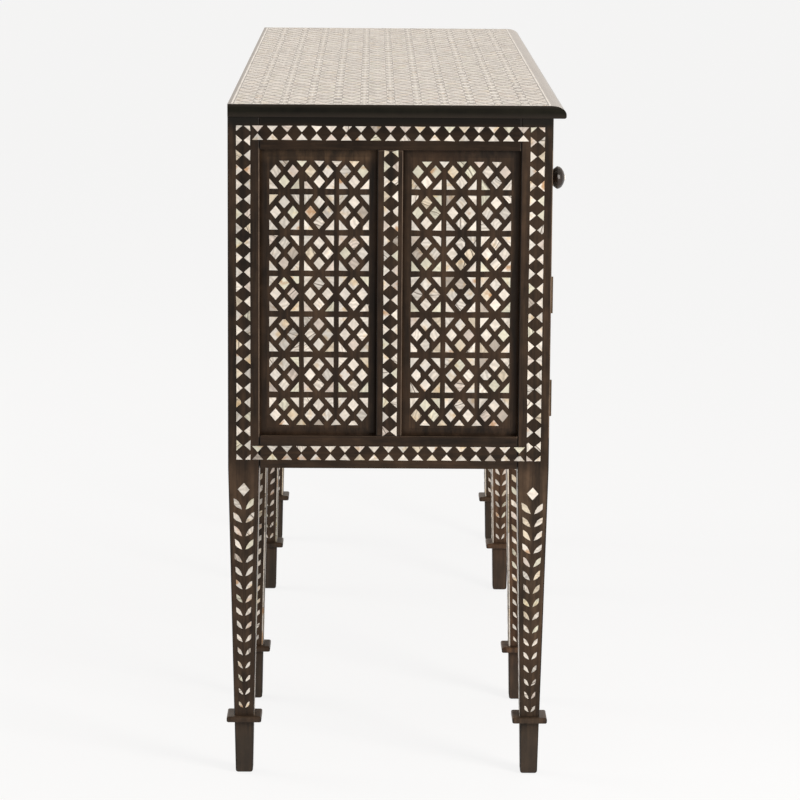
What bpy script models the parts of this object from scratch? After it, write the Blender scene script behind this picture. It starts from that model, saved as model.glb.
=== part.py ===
"""Inlaid sideboard: a long framed cabinet on eight tapered legs.

Three drawers sit over four hinged doors.  The ends are frame-and-panel work: posts that run
down into collared legs, tenoned rails and a muntin, and fielded panels held in grooves.
Metres, +Z up, front towards -Y, left end towards -X.
"""

from math import cos, pi, sin

import bmesh
import bpy
from mathutils import Matrix, Vector

# Body
BODY_LENGTH = 1.500
BODY_DEPTH = 0.420
BODY_BOTTOM = 0.4155
BODY_TOP = 0.8755

# Top board
TOP_THICKNESS = 0.0165
TOP_FRONT_OVERHANG = 0.0165
TOP_END_OVERHANG = 0.002
OVOLO_WIDTH = 0.0195
OVOLO_HEIGHT = 0.0115
TOP_LOWER_ROUND = 0.0025
OVOLO_STEPS = 7
LOWER_ROUND_STEPS = 3

# Posts and the legs below them
POST_SIZE = 0.041
POST_CHAMFER = 0.0010
INNER_POST_SPACING = 0.382
LEG_ANKLE_SIZE = 0.0262
COLLAR_SIZE = 0.0460
COLLAR_BOTTOM = 0.0715
COLLAR_THICKNESS = 0.0080
COLLAR_ROUND = 0.0025
FOOT_TOP_SIZE = 0.0255
FOOT_SIZE = 0.0228
FOOT_ROUND = 0.0040
ROUND_STEPS = 3

# Frame members
TOP_RAIL_HEIGHT = 0.042
BOTTOM_RAIL_HEIGHT = 0.043
RAIL_THICKNESS = 0.026
MUNTIN_WIDTH = 0.033
TENON_LENGTH = 0.016
TENON_THICKNESS = 0.010
TENON_SETBACK = 0.008
TENON_SHOULDER = 0.009
MUNTIN_TENON_WIDTH = 0.015

# Fielded panels
PANEL_TONGUE = 0.0070
PANEL_TONGUE_THICKNESS = 0.006
PANEL_SETBACK = 0.012
PANEL_BEVEL_WIDTH = 0.010
PANEL_BEVEL_RISE = 0.004

# Drawer row
DRAWER_OPENING_HEIGHT = 0.114
DIVIDER_HEIGHT = 0.034
DUST_BOARD_THICKNESS = 0.012
DUST_BOARD_DEPTH = 0.312
DRAWER_FRONT_THICKNESS = 0.020
DRAWER_FRONT_EASING = 0.0010
FRONT_GAP = 0.0015
TRAY_DEPTH = 0.320
TRAY_HEIGHT = 0.092
TRAY_WALL = 0.009
TRAY_FLOOR = 0.007
TRAY_SIDE_GAP = 0.003

# Doors
DOOR_THICKNESS = 0.020
DOOR_STILE = 0.038
DOOR_PANEL_SETBACK = 0.009
DOOR_PANEL_TONGUE_THICKNESS = 0.005

# Butt hinges
HINGE_HEIGHT = 0.048
HINGE_END_DISTANCE = 0.0435
HINGE_KNUCKLE_HEIGHT = 0.016
BARREL_RADIUS = 0.0035
BARREL_PROUD = 0.0010
PIN_RADIUS = 0.0016
PIN_CLEARANCE = 0.00015
LEAF_DEPTH = 0.016
LEAF_THICKNESS = 0.0012
LEAF_STAND = 0.0002
BARREL_SIDES = 12

# Knobs
DRAWER_KNOB_DIAMETER = 0.031
DRAWER_KNOB_PROJECTION = 0.027
CENTRE_KNOB_SPACING = 0.328
DOOR_KNOB_DIAMETER = 0.021
DOOR_KNOB_PROJECTION = 0.018
KNOB_SIDES = 18
KNOB_DOME_STEPS = 4
# Turned outline up to the widest point, as shares of the radius and of the projection
KNOB_OUTLINE = ((0.52, 0.0), (0.52, 0.08), (0.42, 0.16), (0.42, 0.28), (0.78, 0.44), (1.0, 0.62))
KNOB_CAP_SHARE = 0.16

# Boards inside and behind
BOTTOM_BOARD_THICKNESS = 0.014
BOTTOM_BOARD_DROP = 0.002
PARTITION_THICKNESS = 0.016
PARTITION_DADO = 0.005
BACK_BOARD_THICKNESS = 0.010
BACK_BOARD_SETBACK = 0.004
BACK_BOARD_TONGUE = 0.008

# Gap left between faces that touch, and how far a cutter runs past the face it opens
CLEARANCE = 0.0003
CUT_OVERRUN = 0.001

# Derived places
HALF_LENGTH = BODY_LENGTH / 2
HALF_DEPTH = BODY_DEPTH / 2
FRONT = -HALF_DEPTH
POST_INSET = POST_SIZE / 2
CORNER_X = HALF_LENGTH - POST_INSET
INNER_X = CORNER_X - INNER_POST_SPACING
POST_Y = HALF_DEPTH - POST_INSET
TOP_RAIL_BOTTOM = BODY_TOP - TOP_RAIL_HEIGHT
BOTTOM_RAIL_TOP = BODY_BOTTOM + BOTTOM_RAIL_HEIGHT
DIVIDER_TOP = TOP_RAIL_BOTTOM - DRAWER_OPENING_HEIGHT
DIVIDER_BOTTOM = DIVIDER_TOP - DIVIDER_HEIGHT
BACK_BOARD_FRONT = HALF_DEPTH - BACK_BOARD_SETBACK - BACK_BOARD_THICKNESS
BOTTOM_BOARD_TOP = BOTTOM_RAIL_TOP - BOTTOM_BOARD_DROP
FRONT_POST_BACK = FRONT + POST_SIZE
BACK_POST_FRONT = HALF_DEPTH - POST_SIZE
RAIL_BACK = FRONT + RAIL_THICKNESS

# Clear openings of the three bays between post faces, as (left, right)
BAYS = {
    "left": (-CORNER_X + POST_INSET, -INNER_X - POST_INSET),
    "centre": (-INNER_X + POST_INSET, INNER_X - POST_INSET),
    "right": (INNER_X + POST_INSET, CORNER_X - POST_INSET),
}
BAY_POSTS = {
    "left": ("post_front_left", "post_inner_front_left"),
    "centre": ("post_inner_front_left", "post_inner_front_right"),
    "right": ("post_inner_front_right", "post_front_right"),
}

# The knobs reach furthest forward and the collars furthest back, so the origin lies between them
FRONT_REACH = HALF_DEPTH + max(DRAWER_KNOB_PROJECTION, TOP_FRONT_OVERHANG)
BACK_REACH = HALF_DEPTH + max((COLLAR_SIZE - POST_SIZE) / 2, 0.0)
ORIGIN_SHIFT = (FRONT_REACH - BACK_REACH) / 2

# Boxes that each piece is cut to receive its neighbours in, filled as the neighbours are made
sockets = {}

# Centres of the hinge barrels that each post is hollowed for
round_sockets = {}


# Materials

def make_material(name, colour, roughness, metallic=0.0):
    material = bpy.data.materials.new(name)
    material.use_nodes = True
    shader = material.node_tree.nodes["Principled BSDF"]
    shader.inputs["Base Color"].default_value = (*colour, 1.0)
    shader.inputs["Roughness"].default_value = roughness
    shader.inputs["Metallic"].default_value = metallic
    return material


def make_materials():
    return {
        "case": make_material("dark_rosewood", (0.040, 0.026, 0.018), 0.38),
        "top": make_material("lacquered_top", (0.045, 0.030, 0.021), 0.22),
        "panel": make_material("panel_rosewood", (0.034, 0.022, 0.015), 0.42),
        "inside": make_material("inside_wood", (0.190, 0.115, 0.062), 0.65),
        "knob": make_material("turned_ebony", (0.022, 0.015, 0.011), 0.28),
        "hinge": make_material("aged_brass", (0.260, 0.165, 0.070), 0.45, 1.0),
    }


# Mesh tools

def ordered(low, high):
    first = tuple(min(a, b) for a, b in zip(low, high))
    last = tuple(max(a, b) for a, b in zip(low, high))
    return first, last


def add_box(mesh, low, high):
    low, high = ordered(low, high)
    centre = [(a + b) / 2 for a, b in zip(low, high)]
    size = [b - a for a, b in zip(low, high)]
    matrix = Matrix.Translation(centre) @ Matrix.Diagonal((*size, 1.0))
    bmesh.ops.create_cube(mesh, size=1.0, matrix=matrix)


def add_cylinder(mesh, x, y, z_low, z_high, radius):
    matrix = Matrix.Translation((x, y, (z_low + z_high) / 2))
    bmesh.ops.create_cone(
        mesh, cap_ends=True, segments=BARREL_SIDES, radius1=radius, radius2=radius,
        depth=z_high - z_low, matrix=matrix,
    )


def add_loft(mesh, rings):
    """Skin closed rings of equal point counts and cap both ends."""
    loops = [[mesh.verts.new(point) for point in ring] for ring in rings]
    count = len(loops[0])
    for lower, upper in zip(loops, loops[1:]):
        for i in range(count):
            j = (i + 1) % count
            mesh.faces.new((lower[i], lower[j], upper[j], upper[i]))
    mesh.faces.new(list(reversed(loops[0])))
    mesh.faces.new(loops[-1])
    bmesh.ops.recalc_face_normals(mesh, faces=mesh.faces)


def finish_mesh(name, mesh):
    data = bpy.data.meshes.new(name)
    mesh.to_mesh(data)
    mesh.free()
    return data


def link(name, data, parent):
    """Place mesh data drawn in the cabinet's frame under a parent empty."""
    piece = bpy.data.objects.new(name, data)
    bpy.context.scene.collection.objects.link(piece)
    piece.parent = parent
    if parent.parent:
        piece.matrix_parent_inverse = Matrix.Translation(-parent.location)
    return piece


def make_piece(name, mesh, material, parent):
    data = finish_mesh(name, mesh)
    data.materials.append(material)
    return link(name, data, parent)


def make_box(name, low, high, material, parent):
    mesh = bmesh.new()
    add_box(mesh, low, high)
    return make_piece(name, mesh, material, parent)


def combine(piece, mesh, operation, label):
    """Join or cut a piece with the shapes in mesh, kept as a hidden guide."""
    guide = link(f"{piece.name}_{label}", finish_mesh(f"{piece.name}_{label}", mesh), piece.parent)
    guide.hide_render = True
    guide.display_type = "WIRE"
    modifier = piece.modifiers.new(label, "BOOLEAN")
    modifier.operation = operation
    modifier.solver = "EXACT"
    modifier.use_self = True
    modifier.object = guide


def carve(piece, boxes, label="sockets"):
    mesh = bmesh.new()
    for low, high in boxes:
        add_box(mesh, low, high)
    combine(piece, mesh, "DIFFERENCE", label)


def add_empty(name, location, parent=None):
    empty = bpy.data.objects.new(name, None)
    empty.location = location
    empty.parent = parent
    bpy.context.scene.collection.objects.link(empty)
    return empty


def shade_round(piece):
    piece.data.shade_smooth()
    piece.data.set_sharp_from_angle(angle=pi / 5)


# Posts and legs

def chamfered_square(x, y, z, size, chamfer):
    half = size / 2
    inner = half - chamfer
    corners = [
        (half, -inner), (half, inner), (inner, half), (-inner, half),
        (-half, inner), (-half, -inner), (-inner, -half), (inner, -half),
    ]
    return [Vector((x + dx, y + dy, z)) for dx, dy in corners]


def rounded_step(z, size, radius, rising):
    """Sections round a square edge, from underneath when rising, else over its top."""
    sections = []
    for step in range(ROUND_STEPS + 1):
        angle = pi / 2 * step / ROUND_STEPS
        if rising:
            sections.append((z + radius * (1 - cos(angle)), size - 2 * radius * (1 - sin(angle))))
        else:
            sections.append((z - radius * (1 - sin(angle)), size - 2 * radius * (1 - cos(angle))))
    return sections


def leg_sections():
    """Heights and widths from the floor up to the top of the post."""
    collar_top = COLLAR_BOTTOM + COLLAR_THICKNESS
    sections = rounded_step(0.0, FOOT_SIZE, FOOT_ROUND, True)
    sections.append((COLLAR_BOTTOM, FOOT_TOP_SIZE))
    sections += rounded_step(COLLAR_BOTTOM, COLLAR_SIZE, COLLAR_ROUND, True)
    sections += rounded_step(collar_top, COLLAR_SIZE, COLLAR_ROUND, False)
    sections.append((collar_top, LEG_ANKLE_SIZE))
    sections.append((BODY_BOTTOM, POST_SIZE))
    sections.append((BODY_TOP - CLEARANCE, POST_SIZE))
    return sections


def make_post(name, x, y, material, parent):
    mesh = bmesh.new()
    rings = [chamfered_square(x, y, z, size, POST_CHAMFER) for z, size in leg_sections()]
    add_loft(mesh, rings)
    return make_piece(name, mesh, material, parent)


def make_posts(material, parent):
    posts = {}
    for side, sign in (("left", -1), ("right", 1)):
        for face, y in (("front", -POST_Y), ("back", POST_Y)):
            posts[f"post_{face}_{side}"] = make_post(
                f"post_{face}_{side}", sign * CORNER_X, y, material, parent)
            posts[f"post_inner_{face}_{side}"] = make_post(
                f"post_inner_{face}_{side}", sign * INNER_X, y, material, parent)
    return posts


# Tenoned members

def rectangle(axis, place, across, height):
    """Four corners of a section square to the X or Y axis."""
    corners = [(across[0], height[0]), (across[1], height[0]), (across[1], height[1]), (across[0], height[1])]
    if axis == "x":
        return [Vector((place, c, z)) for c, z in corners]
    return [Vector((c, place, z)) for c, z in corners]


def add_socket(host, axis, along, across, height):
    """Record a mortise that clears a tenon on every side."""
    low_c = min(across) - CLEARANCE
    high_c = max(across) + CLEARANCE
    low_z = height[0] - CLEARANCE
    high_z = height[1] + CLEARANCE
    if axis == "x":
        box = ((along[0], low_c, low_z), (along[1], high_c, high_z))
    else:
        box = ((low_c, along[0], low_z), (high_c, along[1], high_z))
    sockets.setdefault(host, []).append(box)


def make_rail(name, axis, ends, outer, inward, height, hosts, material, parent):
    """A rail along X or Y with a tenon at each end that enters its host post."""
    across = (outer, outer + inward * RAIL_THICKNESS)
    tenon = (outer + inward * TENON_SETBACK, outer + inward * (TENON_SETBACK + TENON_THICKNESS))
    tenon_height = (height[0] + TENON_SHOULDER, height[1] - TENON_SHOULDER)
    start = ends[0] + CLEARANCE
    stop = ends[1] - CLEARANCE
    rings = [
        rectangle(axis, ends[0] - TENON_LENGTH, tenon, tenon_height),
        rectangle(axis, start, tenon, tenon_height),
        rectangle(axis, start, across, height),
        rectangle(axis, stop, across, height),
        rectangle(axis, stop, tenon, tenon_height),
        rectangle(axis, ends[1] + TENON_LENGTH, tenon, tenon_height),
    ]
    mesh = bmesh.new()
    add_loft(mesh, rings)
    depth = TENON_LENGTH + CLEARANCE
    add_socket(hosts[0], axis, (ends[0] - depth, ends[0] + CUT_OVERRUN), tenon, tenon_height)
    add_socket(hosts[1], axis, (ends[1] - CUT_OVERRUN, ends[1] + depth), tenon, tenon_height)
    return make_piece(name, mesh, material, parent)


def make_muntin(name, outer, inward, hosts, material, parent):
    """The upright between the two panels of an end, tenoned into both rails."""
    body = (outer, outer + inward * RAIL_THICKNESS)
    tenon = (outer + inward * TENON_SETBACK, outer + inward * (TENON_SETBACK + TENON_THICKNESS))
    half = MUNTIN_WIDTH / 2
    tenon_half = MUNTIN_TENON_WIDTH / 2

    def ring(z, across, reach):
        return [Vector((across[i], y, z)) for i, y in ((0, -reach), (1, -reach), (1, reach), (0, reach))]

    low = BOTTOM_RAIL_TOP + CLEARANCE
    high = TOP_RAIL_BOTTOM - CLEARANCE
    mesh = bmesh.new()
    add_loft(mesh, [
        ring(BOTTOM_RAIL_TOP - TENON_LENGTH, tenon, tenon_half),
        ring(low, tenon, tenon_half),
        ring(low, body, half),
        ring(high, body, half),
        ring(high, tenon, tenon_half),
        ring(TOP_RAIL_BOTTOM + TENON_LENGTH, tenon, tenon_half),
    ])
    width = (-tenon_half, tenon_half)
    depth = TENON_LENGTH + CLEARANCE
    for host, span in (
        (hosts[0], (BOTTOM_RAIL_TOP - depth, BOTTOM_RAIL_TOP + CUT_OVERRUN)),
        (hosts[1], (TOP_RAIL_BOTTOM - CUT_OVERRUN, TOP_RAIL_BOTTOM + depth)),
    ):
        low_corner = (min(tenon) - CLEARANCE, width[0] - CLEARANCE, span[0])
        high_corner = (max(tenon) + CLEARANCE, width[1] + CLEARANCE, span[1])
        sockets.setdefault(host, []).append((low_corner, high_corner))
    return make_piece(name, mesh, material, parent)


# Fielded panels

def make_fielded_panel(name, width, height, tongue_thickness, material, parent):
    """A panel drawn about the origin for an opening, its field facing -Y and its tongue front at y=0."""
    tongue = PANEL_TONGUE
    levels = [
        (tongue, tongue_thickness),
        (tongue, 0.0),
        (-CLEARANCE, 0.0),
        (-PANEL_BEVEL_WIDTH, -PANEL_BEVEL_RISE),
    ]
    rings = []
    for grow, y in levels:
        half_w = width / 2 + grow
        half_h = height / 2 + grow
        corners = [(-half_w, -half_h), (half_w, -half_h), (half_w, half_h), (-half_w, half_h)]
        rings.append([Vector((x, y, z)) for x, z in corners])
    mesh = bmesh.new()
    add_loft(mesh, rings)
    return make_piece(name, mesh, material, parent)


# Ends

def make_end(side, sign, materials, parent):
    outer = sign * HALF_LENGTH
    inward = -sign
    posts = (f"post_front_{side}", f"post_back_{side}")
    ends = (-BACK_POST_FRONT, BACK_POST_FRONT)
    top_rail = f"end_rail_top_{side}"
    bottom_rail = f"end_rail_bottom_{side}"
    pieces = {
        top_rail: make_rail(top_rail, "y", ends, outer, inward, (TOP_RAIL_BOTTOM, BODY_TOP - CLEARANCE),
                            posts, materials["case"], parent),
        bottom_rail: make_rail(bottom_rail, "y", ends, outer, inward, (BODY_BOTTOM, BOTTOM_RAIL_TOP),
                               posts, materials["case"], parent),
    }
    muntin = f"end_muntin_{side}"
    pieces[muntin] = make_muntin(muntin, outer, inward, (bottom_rail, top_rail), materials["case"], parent)
    tongue_front = outer + inward * PANEL_SETBACK
    tongue_back = tongue_front + inward * PANEL_TONGUE_THICKNESS
    groove_x = (tongue_front - inward * CLEARANCE, tongue_back + inward * CLEARANCE)
    opening_width = BACK_POST_FRONT - MUNTIN_WIDTH / 2
    opening_height = TOP_RAIL_BOTTOM - BOTTOM_RAIL_TOP
    groove = PANEL_TONGUE + CLEARANCE
    for face, direction in (("front", -1), ("back", 1)):
        inner_edge = direction * MUNTIN_WIDTH / 2
        outer_edge = direction * BACK_POST_FRONT
        panel = make_fielded_panel(f"end_panel_{side}_{face}", opening_width, opening_height,
                                   PANEL_TONGUE_THICKNESS, materials["panel"], parent)
        panel.location = (tongue_front, (inner_edge + outer_edge) / 2, (BOTTOM_RAIL_TOP + TOP_RAIL_BOTTOM) / 2)
        panel.rotation_euler = (0.0, 0.0, sign * pi / 2)
        low_z = BOTTOM_RAIL_TOP - groove
        high_z = TOP_RAIL_BOTTOM + groove
        post_side = outer_edge + direction * groove
        muntin_side = inner_edge - direction * groove
        sockets.setdefault(f"post_{face}_{side}", []).append((
            (groove_x[0], outer_edge - direction * CUT_OVERRUN, low_z), (groove_x[1], post_side, high_z)))
        sockets.setdefault(muntin, []).append((
            (groove_x[0], muntin_side, BODY_BOTTOM), (groove_x[1], inner_edge + direction * CUT_OVERRUN, BODY_TOP)))
        sockets.setdefault(bottom_rail, []).append((
            (groove_x[0], muntin_side, low_z), (groove_x[1], post_side, BOTTOM_RAIL_TOP + CUT_OVERRUN)))
        sockets.setdefault(top_rail, []).append((
            (groove_x[0], muntin_side, TOP_RAIL_BOTTOM - CUT_OVERRUN), (groove_x[1], post_side, high_z)))
    return pieces


# Front frame, boards and partitions

def make_front_frame(material, parent):
    top_ends = (-CORNER_X + POST_INSET, CORNER_X - POST_INSET)
    pieces = {}
    pieces["front_rail_top"] = make_rail(
        "front_rail_top", "x", top_ends, FRONT, 1, (TOP_RAIL_BOTTOM, BODY_TOP - CLEARANCE),
        ("post_front_left", "post_front_right"), material, parent)
    for bay, ends in BAYS.items():
        name = f"front_rail_bottom_{bay}"
        pieces[name] = make_rail(name, "x", ends, FRONT, 1, (BODY_BOTTOM, BOTTOM_RAIL_TOP),
                                 BAY_POSTS[bay], material, parent)
        name = f"drawer_divider_{bay}"
        pieces[name] = make_rail(name, "x", ends, FRONT, 1, (DIVIDER_BOTTOM, DIVIDER_TOP),
                                 BAY_POSTS[bay], material, parent)
        add_dust_board(pieces[name], bay, ends)
    for side, sign in (("left", -1), ("right", 1)):
        sockets.setdefault(f"post_inner_front_{side}", []).append((
            (sign * INNER_X - POST_SIZE, FRONT - CUT_OVERRUN, TOP_RAIL_BOTTOM - CLEARANCE),
            (sign * INNER_X + POST_SIZE, RAIL_BACK + CLEARANCE, BODY_TOP + CUT_OVERRUN)))
    return pieces


def add_dust_board(divider, bay, ends):
    """The thin board behind a drawer divider, housed in the partitions beside it."""
    edges = [ends[0] + CLEARANCE, ends[1] - CLEARANCE]
    housed = PARTITION_THICKNESS / 2 - PARTITION_DADO + CLEARANCE
    frame_back = HALF_LENGTH - RAIL_THICKNESS - CLEARANCE
    wide = [
        -frame_back if bay == "left" else ends[0] - POST_INSET + housed,
        frame_back if bay == "right" else ends[1] + POST_INSET - housed,
    ]
    low = DIVIDER_TOP - DUST_BOARD_THICKNESS
    back = FRONT_POST_BACK + DUST_BOARD_DEPTH
    mesh = bmesh.new()
    neck_front = RAIL_BACK - RAIL_THICKNESS / 2
    shoulder = FRONT_POST_BACK + CLEARANCE
    outline = [
        (edges[0], neck_front), (edges[1], neck_front), (edges[1], shoulder), (wide[1], shoulder),
        (wide[1], back), (wide[0], back), (wide[0], shoulder), (edges[0], shoulder),
    ]
    add_loft(mesh, [[Vector((x, y, z)) for x, y in outline] for z in (low, DIVIDER_TOP)])
    combine(divider, mesh, "UNION", "dust_board")
    for side, sign in (("left", -1), ("right", 1)):
        face = sign * INNER_X
        for edge in wide:
            away = 1 if edge > face else -1
            if abs(edge - face) < PARTITION_THICKNESS:
                sockets.setdefault(f"partition_{side}", []).append((
                    (edge - away * CLEARANCE, shoulder - POST_SIZE, low - CLEARANCE),
                    (edge + away * POST_SIZE, back + CLEARANCE, DIVIDER_TOP + CLEARANCE)))


def make_partitions(material, parent):
    pieces = {}
    half = PARTITION_THICKNESS / 2
    for side, sign in (("left", -1), ("right", 1)):
        x = sign * INNER_X
        pieces[f"partition_{side}"] = make_box(
            f"partition_{side}",
            (x - half, FRONT_POST_BACK + CLEARANCE, BOTTOM_BOARD_TOP + CLEARANCE),
            (x + half, BACK_POST_FRONT - CLEARANCE, BODY_TOP - CLEARANCE), material, parent)
    return pieces


def make_bottom_board(material, parent):
    reach_x = HALF_LENGTH - RAIL_THICKNESS - CLEARANCE
    low = (-reach_x, RAIL_BACK + CLEARANCE, BOTTOM_BOARD_TOP - BOTTOM_BOARD_THICKNESS)
    high = (reach_x, BACK_BOARD_FRONT - CLEARANCE, BOTTOM_BOARD_TOP)
    board = make_box("bottom_board", low, high, material, parent)
    half = POST_INSET + CLEARANCE
    notches = []
    for x in (-CORNER_X, -INNER_X, INNER_X, CORNER_X):
        for y in (-POST_Y, POST_Y):
            notches.append(((x - half, y - half, BODY_BOTTOM), (x + half, y + half, BODY_TOP)))
    carve(board, notches, "post_notches")
    return board


def make_back_board(material, parent):
    reach = CORNER_X - POST_INSET + BACK_BOARD_TONGUE
    back = BACK_BOARD_FRONT + BACK_BOARD_THICKNESS
    board = make_box("back_board", (-reach, BACK_BOARD_FRONT, BODY_BOTTOM),
                     (reach, back, BODY_TOP - CLEARANCE), material, parent)
    low_y = BACK_BOARD_FRONT - CLEARANCE
    for side, sign in (("left", -1), ("right", 1)):
        sockets.setdefault(f"post_back_{side}", []).append((
            (sign * (reach + CLEARANCE), low_y, BODY_BOTTOM - CLEARANCE),
            (sign * (reach - POST_SIZE), back + CLEARANCE, BODY_TOP + CUT_OVERRUN)))
        sockets.setdefault(f"post_inner_back_{side}", []).append((
            (sign * INNER_X - POST_SIZE, low_y, BODY_BOTTOM - CLEARANCE),
            (sign * INNER_X + POST_SIZE, HALF_DEPTH + CUT_OVERRUN, BODY_TOP + CUT_OVERRUN)))
    return board


def make_top(material, parent):
    """A board whose front edge is a wide ovolo over a small lower round; back and ends are square."""
    front = FRONT - TOP_FRONT_OVERHANG
    low = BODY_TOP
    high = BODY_TOP + TOP_THICKNESS
    profile = [(HALF_DEPTH, low), (HALF_DEPTH, high)]
    for step in range(OVOLO_STEPS + 1):
        angle = pi / 2 * step / OVOLO_STEPS
        y = front + OVOLO_WIDTH * (1 - sin(angle))
        profile.append((y, high - OVOLO_HEIGHT * (1 - cos(angle))))
    for step in range(LOWER_ROUND_STEPS + 1):
        angle = pi / 2 * step / LOWER_ROUND_STEPS
        y = front + TOP_LOWER_ROUND * (1 - cos(angle))
        profile.append((y, low + TOP_LOWER_ROUND * (1 - sin(angle))))
    reach = HALF_LENGTH + TOP_END_OVERHANG
    mesh = bmesh.new()
    add_loft(mesh, [[Vector((x, y, z)) for y, z in profile] for x in (-reach, reach)])
    top = make_piece("top_board", mesh, material, parent)
    shade_round(top)
    return top


# Drawers

def make_knob(name, x, face_y, z, diameter, projection, material, parent):
    """A turned knob on a face that looks towards -Y: foot, waist, swelling and domed cap."""
    radius = diameter / 2
    profile = [(radius * wide, projection * out) for wide, out in KNOB_OUTLINE]
    swell = profile[-1][1]
    for step in range(1, KNOB_DOME_STEPS + 1):
        angle = pi / 2 * step / (KNOB_DOME_STEPS + 1)
        profile.append((radius * cos(angle), swell + (projection - swell) * sin(angle)))
    profile.append((radius * KNOB_CAP_SHARE, projection))
    rings = []
    for r, out in profile:
        turns = [2 * pi * i / KNOB_SIDES for i in range(KNOB_SIDES)]
        rings.append([Vector((x + r * cos(a), face_y - out, z + r * sin(a))) for a in turns])
    mesh = bmesh.new()
    add_loft(mesh, rings)
    knob = make_piece(name, mesh, material, parent)
    shade_round(knob)
    return knob


def make_drawer(bay, materials, parent):
    left, right = BAYS[bay]
    middle = (left + right) / 2
    low = DIVIDER_TOP + FRONT_GAP
    high = TOP_RAIL_BOTTOM - FRONT_GAP
    slide = add_empty(f"slide_{bay}", (middle, FRONT, (low + high) / 2), parent)
    front = make_box(f"drawer_front_{bay}", (left + FRONT_GAP, FRONT, low),
                     (right - FRONT_GAP, FRONT + DRAWER_FRONT_THICKNESS, high), materials["case"], slide)
    easing = front.modifiers.new("eased_edges", "BEVEL")
    easing.width = DRAWER_FRONT_EASING
    easing.segments = 1
    make_tray(bay, left, right, materials["inside"], slide)
    spread = CENTRE_KNOB_SPACING / 2
    knobs = {bay: middle}
    if bay == "centre":
        knobs = {"centre_left": middle - spread, "centre_right": middle + spread}
    for place, x in knobs.items():
        make_knob(f"drawer_knob_{place}", x, FRONT - CLEARANCE, (low + high) / 2, DRAWER_KNOB_DIAMETER,
                  DRAWER_KNOB_PROJECTION - CLEARANCE, materials["knob"], slide)


def make_tray(bay, left, right, material, slide):
    """The drawer's box of sides, back and floor, open at the top."""
    start = FRONT + DRAWER_FRONT_THICKNESS + CLEARANCE
    low = (left + TRAY_SIDE_GAP, start, DIVIDER_TOP + CLEARANCE)
    high = (right - TRAY_SIDE_GAP, start + TRAY_DEPTH, DIVIDER_TOP + CLEARANCE + TRAY_HEIGHT)
    tray = make_box(f"drawer_tray_{bay}", low, high, material, slide)
    hollow_low = (low[0] + TRAY_WALL, low[1] + TRAY_WALL, low[2] + TRAY_FLOOR)
    hollow_high = (high[0] - TRAY_WALL, high[1] - TRAY_WALL, high[2] + CUT_OVERRUN)
    carve(tray, [(hollow_low, hollow_high)], "hollow")
    return tray


# Doors and hinges

def door_list():
    """Each door's opening edges, its hinge side (-1 left, 1 right) and the post that carries it."""
    centre = sum(BAYS["centre"]) / 2
    return [
        ("left", BAYS["left"][0], BAYS["left"][1], -1, "post_front_left"),
        ("centre_left", BAYS["centre"][0], centre, -1, "post_inner_front_left"),
        ("centre_right", centre, BAYS["centre"][1], 1, "post_inner_front_right"),
        ("right", BAYS["right"][0], BAYS["right"][1], 1, "post_front_right"),
    ]


def make_door(name, left, right, hinge_side, post, materials, parent):
    low = BOTTOM_RAIL_TOP + FRONT_GAP
    high = DIVIDER_BOTTOM - FRONT_GAP
    edges = (left + FRONT_GAP, right - FRONT_GAP)
    post_face = left if hinge_side < 0 else right
    towards_door = -hinge_side
    axis_x = post_face + towards_door * FRONT_GAP / 2
    axis_y = FRONT - BARREL_PROUD
    pivot = add_empty(f"pivot_{name}", (axis_x, axis_y, (low + high) / 2), parent)
    frame = make_box(f"door_frame_{name}", (edges[0], FRONT, low), (edges[1], FRONT + DOOR_THICKNESS, high),
                     materials["case"], pivot)
    opening_low = (edges[0] + DOOR_STILE, FRONT - CUT_OVERRUN, low + DOOR_STILE)
    opening_high = (edges[1] - DOOR_STILE, FRONT + DOOR_THICKNESS + CUT_OVERRUN, high - DOOR_STILE)
    groove = PANEL_TONGUE + CLEARANCE
    tongue_front = FRONT + DOOR_PANEL_SETBACK
    groove_low = (opening_low[0] - groove, tongue_front - CLEARANCE, opening_low[2] - groove)
    groove_high = (opening_high[0] + groove, tongue_front + DOOR_PANEL_TONGUE_THICKNESS + CLEARANCE,
                   opening_high[2] + groove)
    carve(frame, [(opening_low, opening_high), (groove_low, groove_high)], "opening")
    panel = make_fielded_panel(f"door_panel_{name}", opening_high[0] - opening_low[0],
                               opening_high[2] - opening_low[2], DOOR_PANEL_TONGUE_THICKNESS,
                               materials["panel"], pivot)
    panel.location = ((edges[0] + edges[1]) / 2, tongue_front, (low + high) / 2)
    free_stile = edges[1] - DOOR_STILE / 2 if hinge_side < 0 else edges[0] + DOOR_STILE / 2
    make_knob(f"door_knob_{name}", free_stile, FRONT - CLEARANCE, (low + high) / 2, DOOR_KNOB_DIAMETER,
              DOOR_KNOB_PROJECTION - CLEARANCE, materials["knob"], pivot)
    heights = {"lower": low + HINGE_END_DISTANCE, "upper": high - HINGE_END_DISTANCE}
    for level, z in heights.items():
        make_post_leaf(f"hinge_{name}_{level}", axis_x, axis_y, z, post_face, towards_door, post,
                       materials["hinge"], parent)
    add_door_leaves(frame, axis_x, axis_y, heights.values(), post_face + towards_door * FRONT_GAP, towards_door)


def leaf_span(face, into_wood):
    """X limits of a leaf let into a wood face, standing a little proud of it."""
    return face - into_wood * LEAF_STAND, face + into_wood * (LEAF_THICKNESS - LEAF_STAND)


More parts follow.
